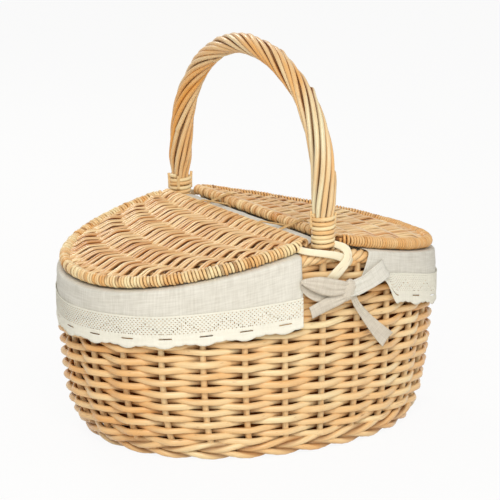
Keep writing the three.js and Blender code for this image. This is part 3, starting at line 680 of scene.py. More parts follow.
@dataclass(frozen=True)
class WovenWall:
    """Upright stakes, the rods woven in front of and behind them, the thick courses below and the border."""

    form: BodyForm
    places: int = 26
    stake: float = 6.6
    stake_foot: float = 3.0
    stake_drop: float = 6.0
    rod: float = 6.0
    pitch: float = 6.3
    first_row: float = 18.8
    swing: float = 5.0
    end_bulge: float = 0.45
    row_steps: int = 8
    rope_steps: int = 24
    foot_depth: float = 6.2
    foot_lay: float = 2.7
    foot_rod: float = 6.6
    foot_courses: tuple[tuple[float, int], ...] = ((6.0, -13), (13.6, 13))
    border: float = 14.3
    border_drop: float = 7.1
    border_lay: float = 4.0
    border_rod: float = 6.6
    border_strands: int = 4
    border_turns: int = 30
    base_inset: tuple[float, float] = (42.0, 17.0)
    base_height: float = 6.0
    base_swing: float = 2.2
    base_waves: int = 16
    base_rings: int = 20
    base_steps: int = 192
    base_rod: float = 5.4
    stick: float = 6.0
    stick_gap: float = 42.0

    def stakes(self) -> None:
        """Each stake: a rod at mid wall from the base to the border."""
        rng = np.random.default_rng(11)
        form = self.form
        runs = np.array([i for i in range(self.places) if i % (self.places // 2)]) / self.places
        top = form.rim_top(runs) - self.stake_drop
        z = self.stake_foot + np.linspace(0.0, 1.0, 24) * (top[:, None] - self.stake_foot)
        paths = form.point(runs[:, None], form.wall / 2.0, z)
        for i, (path, out) in enumerate(zip(paths, form.outward(runs)), 1):
            tone = rng.uniform(0.2, 0.6)
            rod = tubes(path, out, self.stake / 2.0, 10, tone=tone, shade=0.08, start=rng.uniform(0, GRAIN))
            rod.piece(f"stake_{i:02d}", BODY_WILLOW, [f"side_stake_{i:02d}"])

    def row(
        self, runs: Array, heights: Array, parity: Array, closed: bool, rng: np.random.Generator
    ) -> Surface:
        """Rods woven at given heights: depth zigzags over half the stakes passed, row about with row.

        Args:
            runs: Shares of the rim's length of shape (steps,).
            heights: Height of each row.
            parity: 0 or 1, whether a row starts outside or inside.
            closed: Whether the rows go all round.
            rng: Source of the rods' drift and tone.

        Returns:
            The rows as one surface.
        """
        form, count = self.form, len(heights)
        away = np.abs(form.x(runs))
        wave = zigzag(np.cos(pi * self.places * runs + pi * parity[:, None]))
        bulge = 1.0 + self.end_bulge * smooth(away / form.half_length, 0.7, 0.95) * (wave > 0.0)
        swing = self.swing * wave * bulge * (1.0 + waver(rng, count, runs, (3, 11), 0.04))
        z = heights[:, None] + waver(rng, count, runs, (2, 5, 13), 0.32)
        z = z + waver(rng, count, runs, (26, 39), 0.16)
        paths = form.point(runs, form.wall / 2.0 - swing, z)
        radius = self.rod / 2.0 * (1.0 + waver(rng, count, runs, (2, 3, 7), 0.045))
        tone = 0.42 + rng.normal(0.0, 0.12, (count, 1)) + waver(rng, count, runs, (2, 5, 9), 0.13)
        # Deeper tone towards both ends of the basket: painted shade of the end walls.
        tone = tone + 0.3 * smooth(away, 120.0, form.half_length)
        # Painted shade where a rod passes behind a stake; the call below also adds painted shade in the
        # grooves.
        shade = smooth(-swing, 0.35 * self.swing, self.swing) * 0.5
        return tubes(
            paths, form.outward(runs), radius, 8, closed, tone, shade, (1.16, 0.88),
            rng.uniform(0, GRAIN, count), 0.25,
        )

    def weave(self) -> None:
        """Rows all round up to the lowest border, then rows at the front and the rear that stop below it."""
        rng = np.random.default_rng(7)
        form = self.form
        under = self.border - self.rod / 6.0
        highest = form.ridge - under
        lowest = float(form.rim_top(np.array(0.25))) - under
        heights = np.arange(self.first_row, highest, self.pitch)
        parity = np.arange(len(heights)) % 2
        whole = heights < lowest
        around = self.places * self.row_steps
        parts = [self.row(np.arange(around) / around, heights[whole], parity[whole], True, rng)]
        for z, odd in zip(heights[~whole], parity[~whole]):
            reach = form.run_at(form.hinge_offset + (highest - z) / tan(form.slope))
            steps = max(int(2 * reach * around), 12)
            for middle in (0.0, 0.5):
                arc = np.linspace(middle - reach, middle + reach, steps)
                parts.append(self.row(arc, np.array([z]), np.array([odd]), False, rng))
        Surface.joined(parts).piece("woven_wall", BODY_WILLOW, ["side_weave"])

    def foot(self) -> None:
        """Two courses of twined rods round the base, laid opposite ways."""
        rng = np.random.default_rng(19)
        steps = self.places * self.rope_steps
        runs = np.arange(steps) / steps
        out = self.form.outward(runs)
        courses = []
        for z, turns in self.foot_courses:
            centre = self.form.point(runs, self.foot_depth, z)
            courses.append(rope(centre, out, 2, turns, self.foot_lay, self.foot_rod / 2.0, rng))
        Surface.joined(courses).piece("foot_wale", BODY_WILLOW, ["upsett_wale"])

    def rim(self) -> None:
        """The border: rods laid round the rim like a rope, slanting up to the right."""
        rng = np.random.default_rng(23)
        steps = 32 * self.rope_steps
        runs = np.arange(steps) / steps
        z = self.form.rim_top(runs) - self.border_drop
        laid = rope(
            self.form.point(runs, self.form.wall / 2.0, z), self.form.outward(runs), self.border_strands,
            self.border_turns, self.border_lay, self.border_rod / 2.0, rng,
        )
        laid.piece("rolled_border", BODY_WILLOW, ["rim_border"])

    def base(self) -> None:
        """Crossed sticks and the rods woven round them: ovals that rise and fall over the sticks."""
        rng = np.random.default_rng(29)
        form, rings = self.form, self.base_rings
        length, width = form.half_length - self.base_inset[0], form.half_width - self.base_inset[1]
        inset = (1.0 - np.linspace(0.1, 0.965, rings)[:, None]) * width
        t = np.arange(self.base_steps) / self.base_steps
        x, y = form.oval(t, length - inset, width - inset)
        wave = np.cos(pi * self.base_waves * t + pi * np.arange(rings)[:, None])
        paths = stacked(x, y, self.base_height + self.base_swing * wave)
        tone = 0.5 + waver(rng, rings, t, (2, 5), 0.14)
        # The base rods and sticks carry a little painted shade.
        woven = tubes(paths, UP, self.base_rod / 2.0, 7, True, tone, 0.1, start=rng.uniform(0, GRAIN, rings))
        woven.piece("base_rods", BODY_WILLOW, ["base_weave"])
        along = np.linspace(-1.0, 1.0, 12)
        lines = [stacked(length * along, y, self.base_height) for y in self.stick_gap * np.arange(-1, 2)]
        for x in self.stick_gap * np.arange(-2, 3):
            half = width * (1.0 - abs(x / length) ** form.oval_power) ** (1.0 / form.oval_power)
            lines.append(stacked(x, half * along, self.base_height))
        sticks = tubes(np.array(lines), UP, self.stick / 2.0, 8, tone=0.5, shade=0.1)
        sticks.piece("base_sticks", BODY_WILLOW, ["base_slath"])

    def build(self) -> None:
        """Make every piece of the body."""
        self.base()
        self.foot()
        self.stakes()
        self.weave()
        self.rim()


@dataclass(frozen=True)
class Handle:
    """A bent bow roped with long rods, bound at each foot and strapped over the border.

    rod_ends gives each rod end's share of the way along and the angle it faces. tucked_ends gives each end's
    angle round the leg, its rise above the binding and its lean away. The straps give X, Y, Z and half width.
    """

    form: BodyForm
    leg: float = 141.0
    foot: float = 206.3
    spring: float = 275.0
    rise: float = 116.0
    lean: float = 6.0
    lean_heights: tuple[float, float] = (235.0, 315.0)
    tang: float = 104.0
    tang_radius: float = 3.6
    core: float = 7.0
    splice: float = 8.0
    splice_foot: float = 3.0
    splice_radius: float = 3.3
    rods: int = 10
    rod: float = 5.2
    thick: float = 12.2
    thin: float = 10.6
    turns: float = 2.1
    rod_ends: tuple[tuple[float, float], ...] = (
        (0.14, -0.5), (0.3, -0.4), (0.42, -0.7), (0.86, 2.6), (0.64, 1.6),
    )
    end_swell: float = 2.6
    lapping_rod: float = 4.3
    lapping_reach: float = 10.0
    lapping_turns: tuple[float, float] = (7.6, 5.2)
    lapping_foot: float = 208.5
    lapping_pitch: float = 4.4
    tuck: float = 14.0
    tucked_ends: tuple[tuple[float, float, float], ...] = ((-0.4, 2.0, 1.2), (0.9, 0.5, 1.8), (2.7, 3.5, 0.9))
    under_strap: tuple[tuple[float, float, float, float], ...] = (
        (-29.0, -138.0, 210.0, 3.6), (-24.0, -147.5, 208.6, 3.4), (-8.0, -153.2, 205.6, 3.6),
        (8.0, -153.4, 201.6, 4.0), (19.0, -151.4, 196.4, 4.4), (26.0, -150.6, 192.6, 4.4),
        (31.0, -145.0, 190.0, 4.0),
    )
    over_strap: tuple[tuple[float, float, float, float], ...] = (
        (3.0, -144.0, 173.0, 5.0), (5.0, -149.8, 178.0, 6.0), (11.0, -152.6, 185.4, 6.0),
        (18.0, -154.2, 193.4, 5.4), (21.6, -153.2, 200.6, 4.8), (18.6, -151.6, 207.6, 4.2),
        (7.6, -147.6, 213.0, 3.2),
    )

    def line(self, start: float, count: int) -> Array:
        """The bow: up the front leg, over half an oval and down the rear leg, which leans in.

        Args:
            start: Height of the ends.
            count: Number of points, evenly spaced.

        Returns:
            Points of shape (count, 3).
        """
        angle = np.linspace(0.0, pi, 400)
        arch = stacked(0.0, -self.leg * np.cos(angle), self.spring + self.rise * np.sin(angle))
        front = stacked(0.0, -self.leg, np.linspace(start, self.spring, 60)[:-1])
        line = np.concatenate([front, arch, front[::-1] * [1.0, -1.0, 1.0]])
        rear = self.lean * smooth(line[:, 1] / self.leg, 0.0, 0.9)
        line[:, 1] -= rear * smooth(line[:, 2], *self.lean_heights)
        return resampled(line, count)

    def bow(self) -> None:
        """The bow, with its shaved ends down in the wall, and the stakes that they are spliced to below."""
        line = self.line(self.foot - self.tang, 160)
        slim = smooth(line[:, 2], self.foot - 20.0, self.foot + 4.0)
        radius = self.tang_radius + (self.core - self.tang_radius) * slim
        # Painted shade on the bow where the roping covers it, little on the shaved ends.
        bow = tubes(line, RIGHT, radius, 12, tone=0.5, shade=(0.1 + 0.6 * slim)[None])
        z = np.linspace(self.splice_foot, self.foot - self.tang + self.splice, 16)
        low = self.form.point(np.array([[0.0], [0.5]]), self.form.wall / 2.0, z[None])
        stakes = tubes(low, RIGHT, self.splice_radius, 10, tone=0.4, shade=0.08)
        Surface.joined([bow, stakes]).piece("bent_bow", HANDLE_WILLOW, ["handle_core"])

    def roping(self) -> None:
        """Rods wound round the bow: the line plus reach * (cos a * X + sin a * across), a growing along it.

        Where a rod ends, its reach swells with the square of the run up to the end and drops back at once.
        """
        rng = np.random.default_rng(31)
        steps, rods = 200, self.rods
        line = self.line(self.lapping_foot + 2.0, steps)
        across = np.cross(unit(np.gradient(line, axis=0)), RIGHT)
        run = np.linspace(0.0, 1.0, steps)
        height = (line[:, 2] - self.spring) / self.rise
        outer = self.thick - (self.thick - self.thin) * smooth(height, 0.0, 1.0)
        under = smooth(line[:, 2], self.lapping_foot + 20.0, self.lapping_foot + 46.0)
        radius = self.rod / 2.0 * (1.0 + rng.normal(0.0, 0.06, (rods, 1)))
        reach = (outer - self.rod / 2.0) * (0.72 + 0.28 * under)
        reach = reach + waver(rng, rods, run, (2, 4, 7), 0.28)
        start = np.arange(rods)[:, None] / rods + rng.normal(0.0, 0.006, (rods, 1))
        twist = run - 0.45 * np.sin(2.0 * pi * run) / (2.0 * pi) + 0.15 * run * (run - 1.0)
        angle = 2.0 * pi * (start + self.turns * twist) + waver(rng, rods, run, (2, 5), 0.035)
        for place, facing in self.rod_ends:
            turned = np.angle(np.exp(1j * (angle - facing)))
            swell = np.clip(1.0 - (place - run) / 0.07, 0.0, 1.0) * (run < place)
            reach = reach + self.end_swell * np.exp(-((turned / 0.28) ** 2)) * swell**2
        out = spun(angle, RIGHT, across)
        # Deeper tone from the front leg to the rear and in a band before the top of the arch: painted shade.
        tone = 0.1 + 0.22 * run + 0.36 * smooth(run, 0.22, 0.34)
        tone = tone + 0.28 * np.exp(-(((run - 0.36) / 0.07) ** 2))
        tone = tone + rng.normal(0.0, 0.14, (rods, 1)) + waver(rng, rods, run, (2, 5), 0.1)
        # Painted shade between the rods over the front half of the arch and just past its top.
        seam = 0.7 * smooth(run, 0.2, 0.3) * (1.0 - smooth(run, 0.5, 0.62))
        roped = tubes(
            line + reach[..., None] * out, out, radius * (0.8 + 0.2 * under), 8, tone=tone,
            start=rng.uniform(0, GRAIN, rods), groove=0.8, seam=seam[:, None],
        )
        roped.piece("roped_rods", HANDLE_WILLOW, ["handle_roping"])

    def lapping(self, turns: float) -> Surface:
        """The binding of the front foot: a helix up the leg, and rod ends tucked under it.

        Args:
            turns: Turns of the helix.

        Returns:
            The binding.
        """
        rng = np.random.default_rng(37)
        leg = np.array([0.0, -self.leg, 0.0])
        turn = np.linspace(0.0, turns, int(30 * turns))
        angle = 2.0 * pi * turn - 0.6
        out = stacked(np.cos(angle), np.sin(angle), 0.0)
        z = self.lapping_foot + self.lapping_pitch * turn + waver(rng, 1, turn, (0.6, 1.7), 0.22)[0]
        helix = self.lapping_reach * out + leg + z[:, None] * UP
        tone = 0.35 + waver(rng, 1, turn, (0.4, 1.1), 0.16)
        parts = [tubes(helix, out, self.lapping_rod / 2.0, 8, tone=tone, groove=0.6)]
        low = self.lapping_foot + self.lapping_pitch * turns - self.tuck
        share = np.linspace(0.0, 1.0, 10)
        for place, rise, lean in self.tucked_ends:
            side = np.array([cos(place), sin(place), 0.0])
            away = (self.lapping_reach + 1.2 + lean * share**2)[:, None] * side
            end = away + leg + (low + (self.tuck + rise) * share)[:, None] * UP
            parts.append(tubes(end, side, 1.9 - 0.5 * share, 7, tone=0.6))
        return Surface.joined(parts)

    def straps(self) -> Surface:
        """Two flat splints crossed over the border at the front foot: smooth lines with tucked-in ends."""
        parts = []
        for strap in (self.under_strap, self.over_strap):
            line = curve(strap, 40)
            parts.append(tubes(
                line[:, :3], FRONT, line[:, 3], 12, tone=0.3, section=(1.0, 0.22), start=300.0 * strap[0][3],
                groove=0.3,
            ))
        return Surface.joined(parts)

    def build(self) -> None:
        """Make the bow, its roping, and the bindings and straps at both feet."""
        self.bow()
        self.roping()
        for foot, turn, turns in zip(("front", "rear"), (np.eye(3), HALF_TURN), self.lapping_turns):
            lapping, straps = self.lapping(turns).placed(turn), self.straps().placed(turn)
            lapping.piece(f"{foot}_lapping", BINDING_WILLOW, [f"handle_lapping_{foot}"])
            straps.piece(f"{foot}_straps", STRAP_WILLOW, [f"cross_binding_{foot}"])


@dataclass(frozen=True)
class Lid:
    """A half-oval lid: a hoop with ribs, rods woven across the ribs, and an edge wound all round."""

    hand: str
    body: Body
    form: BodyForm
    seed: int
    edge: float = 11.0
    corner: float = 14.0
    hoop_rod: float = 5.2
    rib: float = 36.0
    ribs: int = 4
    rib_rod: float = 4.0
    rod: float = 4.1
    pitch: float = 5.3
    apart: float = 1.95
    lift: float = 3.9
    raised: float = 0.4
    rod_margin: float = 5.0
    rod_start: float = 6.0
    hinge_zone: tuple[float, float] = (4.0, 16.0)
    rod_steps: int = 80
    turn_steps: int = 14
    winding: float = 4.1
    wound: float = 3.4
    bare: float = 5.0
    edge_rod: float = 3.6
    edge_height: float = 1.08
    wrap: float = 4.3
    hinge_height: float = 213.5625
    end_margin: float = 2.0
    side_margin: float = 5.0
    fan: float = 0.24
    bow: float = 0.8
    # slit and seam give the painted shade on covered and touching sides of the rods; edge_seam the painted
    # shade between the edge's turns.
    slit: float = 0.72
    seam: float = 0.68
    edge_tone: float = 0.42
    edge_seam: float = 0.0

    @property
    def reach(self) -> float:
        """Length of the hoop's line along the lid."""
        form = self.form
        return (form.half_length - self.end_margin - form.hinge_offset) / cos(form.slope) - self.edge / 2.0

    @property
    def breadth(self) -> float:
        """Half the width of the hoop's line."""
        return self.form.half_width - self.side_margin - self.edge / 2.0

    def half_width(self, x: Array) -> Array:
        """Half the lid's width at a place along it, from the oval's equation."""
        power = self.form.oval_power
        return self.breadth * (1.0 - np.clip(x / self.reach, 0.0, 1.0) ** power) ** (1.0 / power)

    def far_edge(self, y: Array) -> Array:
        """The lid's length at a place across it, from the oval's equation."""
        power = self.form.oval_power
        return self.reach * (1.0 - np.clip(np.abs(y) / self.breadth, 0.0, 1.0) ** power) ** (1.0 / power)

    def fanned(self, y: Array, share: Array) -> Array:
        """Rods pressed outwards to the rim: y times 1 + fan times the cube of the share of the way out."""
        return y * (1.0 + self.fan * share**3)

    def rod_share(self, y: Array) -> Array:
        """Share of the straight way out at which a fanned rod meets the rim, its last fine step within."""
        share = np.linspace(0.0, 1.0, 600)
        room = self.half_width(self.far_edge(y)[:, None] * share)
        within = np.abs(self.fanned(y[:, None], share)) <= room
        return share[np.maximum(within.sum(1) - 1, 1)]

    def rib_space(self, y: Array) -> Array:
        """Space between the ribs along a rod: they bow with the rim, so it narrows with the lid's length."""
        return self.rib * (1.0 - self.bow * (1.0 - self.far_edge(y) / self.reach))

    def placed(self, flat: Surface) -> Surface:
        """A surface made flat with its hinge on the Y axis, sloped and set on the basket."""
        run, rise = cos(self.form.slope), sin(self.form.slope)
        tilt = np.array([[run, 0.0, rise], [0.0, 1.0, 0.0], [-rise, 0.0, run]])
        side, turn = (1.0, np.eye(3)) if self.hand == "right" else (-1.0, HALF_TURN)
        return flat.placed(turn @ tilt, (side * self.form.hinge_offset, 0.0, self.hinge_height))

    def hoop_line(self, count: int) -> Array:
        """The hoop: straight along the hinge, round two corners, and along the oval rim."""
        form = self.form
        shoulder = float(self.half_width(np.array(self.corner)))
        low = shoulder - self.corner
        bend = np.linspace(pi, pi / 2.0, 12)
        near = stacked(self.corner + self.corner * np.cos(bend), low + self.corner * np.sin(bend))
        begin = np.arcsin((shoulder / self.breadth) ** (form.oval_power / 2.0))
        sweep = np.linspace(begin, -begin, 240)[1:-1]
        rim = stacked(self.reach * form.rounded(np.cos(sweep)), self.breadth * form.rounded(np.sin(sweep)))
        back = near[::-1] * [1.0, -1.0]
        flat = resampled(np.concatenate([[[0.0, -low]], near, rim, back[:-1]]), count, True)
        return np.concatenate([flat, np.zeros((count, 1))], axis=1)

    def frame(self) -> None:
        """The hoop and its ribs, each rib through the same share of the rods' ways, out to the rim."""
        # The hoop carries painted shade, 0.75, under the edge's winding; the ribs a little.
        hoop = tubes(self.hoop_line(200), UP, self.hoop_rod / 2.0, 8, True, 0.5, 0.75)
        number = 1.0 + np.arange(self.ribs)[:, None]
        fine = np.linspace(0.0, self.breadth, 800)
        within = number * self.rib_space(fine) < self.far_edge(fine) * self.rod_share(fine)
        y = self.breadth * within.mean(1, keepdims=True) * np.linspace(-1.0, 1.0, 40)
        x = number * self.rib_space(y)
        paths = stacked(x, self.fanned(y, x / self.far_edge(y)), 0.0)
        ribs = tubes(paths, UP, self.rib_rod / 2.0, 8, tone=0.5, shade=0.1)
        whole = self.placed(Surface.joined([hoop, ribs]))
        whole.piece(f"{self.hand}_lid_hoop", LID_WILLOW, [f"lid_{self.hand}_frame"], body=self.body)

    def weave(self) -> None:
        """Pairs of rods along the lid: height is lift times a zigzag over half the ribs passed, pair about.

        At the hinge each rod goes over the hoop and round under it, on a circle about the hoop's line. A rod
        carries painted shade where the pairs beside it cover it.
        """
        rng = np.random.default_rng(self.seed)
        side = self.breadth - self.rod_margin
        count = 2 * int(side / self.pitch) + 1
        y = np.linspace(-side, side, count)
        odd = (np.arange(count) % 2)[:, None]
        straight, space = self.far_edge(y)[:, None], self.rib_space(y)[:, None]
        far = straight * self.rod_share(y)[:, None] - 1.0
        share = np.linspace(0.0, 1.0, self.rod_steps)
        x = (far - self.rod_start) * share + self.rod_start
        over = zigzag(np.cos(pi * x / space + pi * odd))
        clear = smooth(x, *self.hinge_zone)
        ends = clear * smooth(far - x, 0.0, 20.0)
        lift = self.lift * (0.4 + 0.6 * space / self.rib)
        rise = lift * over * (0.25 + 0.75 * ends) * (1.0 + waver(rng, count, share, (1, 3), 0.06))
        rise = rise + (self.wrap - 1.4) * (1.0 - 0.9 * odd) * (1.0 - clear)
        drift = waver(rng, count, share, (0.5, 1, 2), 0.5) + waver(rng, count, share, (4, 6), 0.18)
        across = self.fanned(y[:, None], x / straight) + drift
        angle = np.radians(np.linspace(250.0, 70.0, self.turn_steps))
        reach = self.wrap * (1.0 - 0.45 * odd)
        turned = stacked(reach * np.cos(angle), across[:, :1], reach * np.sin(angle))
        middle = np.concatenate([turned, stacked(x, across, rise + self.raised)], axis=1)
        run = np.linspace(0.0, 1.0, middle.shape[1])
        lean = np.gradient(across, axis=1) / np.gradient(x, axis=1)
        lean = np.concatenate([np.zeros((count, self.turn_steps)), lean], axis=1)
        beside = unit(stacked(-lean, 1.0, 0.0))
        apart = (self.apart + waver(rng, count, run, (1, 2), 0.22))[..., None] * beside
        paths = np.concatenate([middle - apart, middle + apart])
        rods, sides = len(paths), 8
        radius = self.rod / 2.0 * (0.97 + waver(rng, rods, run, (0.5, 1.5), 0.06))
        tone = 0.42 + rng.normal(0.0, 0.26, (rods, 1)) + waver(rng, rods, run, (1, 2.5), 0.18)
        top = smooth(np.sin(2.0 * pi * np.arange(sides) / sides), -0.3, 0.3)
        high, low = (smooth(sign * over, 0.0, 0.9)[..., None] for sign in (1.0, -1.0))
        # Painted shade on the covered side of each rod, none at the hinge and fading by a third towards the
        # far end.
        fade = clear * (1.0 - 0.35 * smooth(x, 90.0, 160.0))
        covered = self.slit * (low * top + high * (1.0 - top)) * fade[..., None]
        deep = np.concatenate([np.zeros((count, self.turn_steps, sides)), covered], axis=1)
        up = [turned * [1.0, 0.0, 1.0], np.broadcast_to(UP, (count, self.rod_steps, 3))]
        woven = tubes(
            paths, np.tile(np.concatenate(up, axis=1), (2, 1, 1)), radius, sides, tone=tone,
            shade=np.tile(deep, (2, 1, 1)), section=(1.0, 0.76), start=rng.uniform(0, GRAIN, rods),
            seam=self.seam,
        )
        node = f"lid_{self.hand}_weave"
        self.placed(woven).piece(f"{self.hand}_lid_rods", LID_WILLOW, [node], body=self.body)

    def binding(self) -> None:
        """The edge: a rod wound round the hoop's rim, the line plus reach * (cos a * out + sin a * up)."""
        rng = np.random.default_rng(self.seed + 1)
        rough = self.hoop_line(2400)
        rough = np.roll(rough, -int(np.argmax(rough[:, 0] > self.bare)), 0)
        rough = rough[rough[:, 0] > self.bare]
        turns = int(travelled(rough)[-1] / self.wound)
        steps = turns * 12
        line = resampled(rough, steps)
        out = np.cross(UP, unit(np.gradient(line, axis=0)))
        run = np.linspace(0.0, 1.0, steps)
        angle = 2.0 * pi * turns * run + waver(rng, 1, run, (5, 17, 41), 0.2)[0]
        ring = spun(angle, out, self.edge_height * UP)
        reach = self.winding + waver(rng, 1, run, (9, 31, 67), 0.12)[0]
        path = line + reach[:, None] * ring + self.raised * UP
        tone = self.edge_tone + waver(rng, 1, run, (6, 19, 43, 97), 0.24)
        # Painted shade in scattered patches, dark gaps between the turns.
        gap_shade = 0.55 * smooth(waver(rng, 1, run, (13, 37, 71, 113), 0.5), 0.9, 1.5)
        wound = tubes(
            path, ring, self.edge_rod / 2.0, 7, tone=tone, shade=gap_shade, section=(0.88, 0.9), groove=0.9,
            seam=self.edge_seam,
        )
        node = f"lid_{self.hand}_binding"
        self.placed(wound).piece(f"{self.hand}_lid_edge", BINDING_WILLOW, [node], body=self.body)

    def build(self) -> None:
        """Make the frame, the weave and the edge."""
        self.frame()
        self.weave()
        self.binding()


@dataclass(frozen=True)
class Liner:
    """The linen bag, its flaps over the rim, the lace along their hems and the cover of the bridge."""

    form: BodyForm
    cloth: float = 0.8
    lace_cloth: float = 0.25
    drop: float = 12.0
    floor: float = 13.2
    bag_steps: int = 156
    bag_rows: int = 18
    floor_rows: int = 10
    clear: float = 1.4
    arch: float = 3.0
    tied_end: float = 50.0
    lace_tied_end: float = 66.0
    knot: tuple[float, float] = (28.0, 166.0)
    pull: float = 19.0
    tuck: float = 12.0
    plain_end: float = 30.0
    hem: float = 165.0
    hem_fall: float = 19.0
    tied_rise: float = 14.0
    tied_drop: float = 15.0
    ripples: int = 5
    ripple: float = 2.2
    flap_steps: int = 200
    lace_depth: float = 33.0
    lace_lap: float = 2.0
    lace_stand: float = 2.4
    scallops: int = 12
    stitches: int = 40
    scallop: float = 3.6
    picot: float = 0.9
    bar_half: float = 132.0
    bar_height: float = 206.0
    bar_radius: float = 4.0
    cover_half: float = 128.0
    cover_foot: float = 202.4
    cover_breadth: float = 10.6
    cover_rise: float = 9.2
    bridge_steps: int = 90
    tie_places: tuple[float, float] = (72.0, 58.0)
    tie_radius: float = 7.2
    tie_height: float = 213.56
    tie_box: tuple[tuple[float, float], ...] = (
        (10.6, 201.2), (0.0, 200.4), (-10.6, 200.9), (-12.6, 204.0), (-12.4, 211.0), (-9.0, 213.4),
    )
    tie_middle: tuple[float, float] = (5.0, 208.0)
    tie_gap: float = 1.3
    tie_cord: float = 1.6
    tie_steps: int = 72

    def bag(self) -> None:
        """The bag: the wall's form set in, from below the rim to the floor, and in to the middle."""
        form, steps = self.form, self.bag_steps
        runs = np.arange(steps)[:, None] / steps
        rng = np.random.default_rng(41)
        rise = np.linspace(1.0, 0.0, self.bag_rows)
        z = self.floor + (form.rim_top(runs) - self.drop - self.floor) * rise**1.6
        slack = waver(rng, 1, runs[:, 0], (7, 12, 19), 0.5)[0][:, None]
        wall = form.point(runs, form.wall + 2.0 + np.abs(slack) * np.sin(pi * rise), z)
        shrink = np.linspace(0.92, 0.02, self.floor_rows)
        points = np.concatenate([wall, wall[:, -1:] * stacked(shrink, shrink, 1.0)], axis=1)
        rows = points.shape[1]
        grain = stacked(runs * form.length(), np.arange(rows) * 9.0)
        first = np.arange(steps) * rows
        middle = first[None] + rows - 1
        inside = grid(points, grain, True).flipped()
        inside = replace(inside, faces=inside.faces + [middle])
        # The bag's outer side has shade 1: painted shade, so the gaps in the wall show dark.
        outside = grid(points + self.cloth * (form.outward(runs) - UP), grain, True)
        outside = replace(outside, faces=outside.faces + [middle[:, ::-1]], shade=np.ones(steps * rows))
        after = np.roll(first, -1)
        rim = stacked(first, after, after + steps * rows, first + steps * rows)
        shell = Surface.joined([inside, outside])
        shell = replace(shell, faces=shell.faces + [rim])
        bag = shell.piece("lining_bag", LINEN, ["liner_bag"])
        round(inside.area(), 4)

    def hem_height(self, run: Array) -> Array:
        """Height of a flap's hem on the right half: falling to the basket's end, drawn up at the tied end."""
        length = run * self.form.length()
        fall = self.hem_fall * np.abs(self.form.x(run)) / self.form.half_length
        return self.hem - fall + self.tied_rise * (1.0 - smooth(length, 60.0, 200.0))

    def billow(self, run: Array) -> Array:
        """How far the hem stands off the wall: ripples round the rim, and the free corner turned out."""
        length = self.form.length()
        wave = 0.5 * (1.0 - np.cos(4.0 * pi * self.ripples * run))
        uneven = 0.3 * np.sin(2.0 * pi * 17.0 * run + 1.0) + 0.2 * np.sin(2.0 * pi * 29.0 * run)
        corner = 1.0 - smooth((0.5 * length - self.plain_end) - run * length, 0.0, 30.0)
        return self.ripple * wave + 0.5 * uneven + 1.8 * corner

    def flap(self) -> Surface:
        """The right flap: up inside the border, over it in a flat arch, and down outside to the hem.

        The tied corner is drawn along the wall towards the knot, and pleats fan out from there.

        Returns:
            The flap.
        """
        form, columns = self.form, self.flap_steps
        length, half = form.length(), form.wall / 2.0
        share = np.linspace(0.0, 1.0, columns)[:, None]
        along = self.tied_end + (0.5 * length - self.plain_end - self.tied_end) * share**1.25
        runs = along / length
        top = form.rim_top(runs)
        turn = np.linspace(0.0, pi, 13)[1:-1]
        inner_z = top + np.linspace(-11.5, -self.arch, 4)
        inner_depth = np.full((1, 4), form.wall + self.clear)
        arch_z = top - self.arch + 4.0 * np.sin(turn) ** 0.6
        arch_depth = (half + (half + self.clear) * drawn_out(np.cos(turn), 0.6))[None]
        fall = np.linspace(0.0, 1.0, 20)[None]
        corner = 1.0 - smooth(along, self.tied_end, self.tied_end + 36.0)
        hem = self.hem_height(runs) - self.tied_drop * corner
        outer_z = top - self.arch + (hem - top + self.arch) * fall
        near = 1.0 - smooth(along, self.tied_end, self.tied_end + 45.0)
        drawn = along - (self.pull * fall**1.2 + self.tuck * fall**8) * near
        across, up = drawn - self.knot[0], outer_z - self.knot[1]
        away = np.hypot(across, up)
        pleat = 1.5 * np.cos(11.0 * np.arctan2(up, across)) - 2.4 * np.exp(-away / 9.0)
        pleat = pleat * np.exp(-away / 26.0)
        wrinkle = 0.25 * np.sin(along / 9.0 + 2.0 * np.sin(fall * 5.0)) * np.sin(pi * fall)
        outer_depth = -self.clear - self.billow(runs) * smooth(fall, 0.0, 1.0) + pleat * fall + wrinkle
        z = np.concatenate([inner_z, arch_z, outer_z], axis=1)
        place = np.concatenate([np.broadcast_to(along, (columns, 15)), drawn], axis=1) / length
        depths = (inner_depth, arch_depth, outer_depth)
        depth = np.concatenate([np.broadcast_to(part, (columns, part.shape[1])) for part in depths], axis=1)
        points = form.point(place, depth, z)
        return grid(points, stacked(along, travelled(points)))

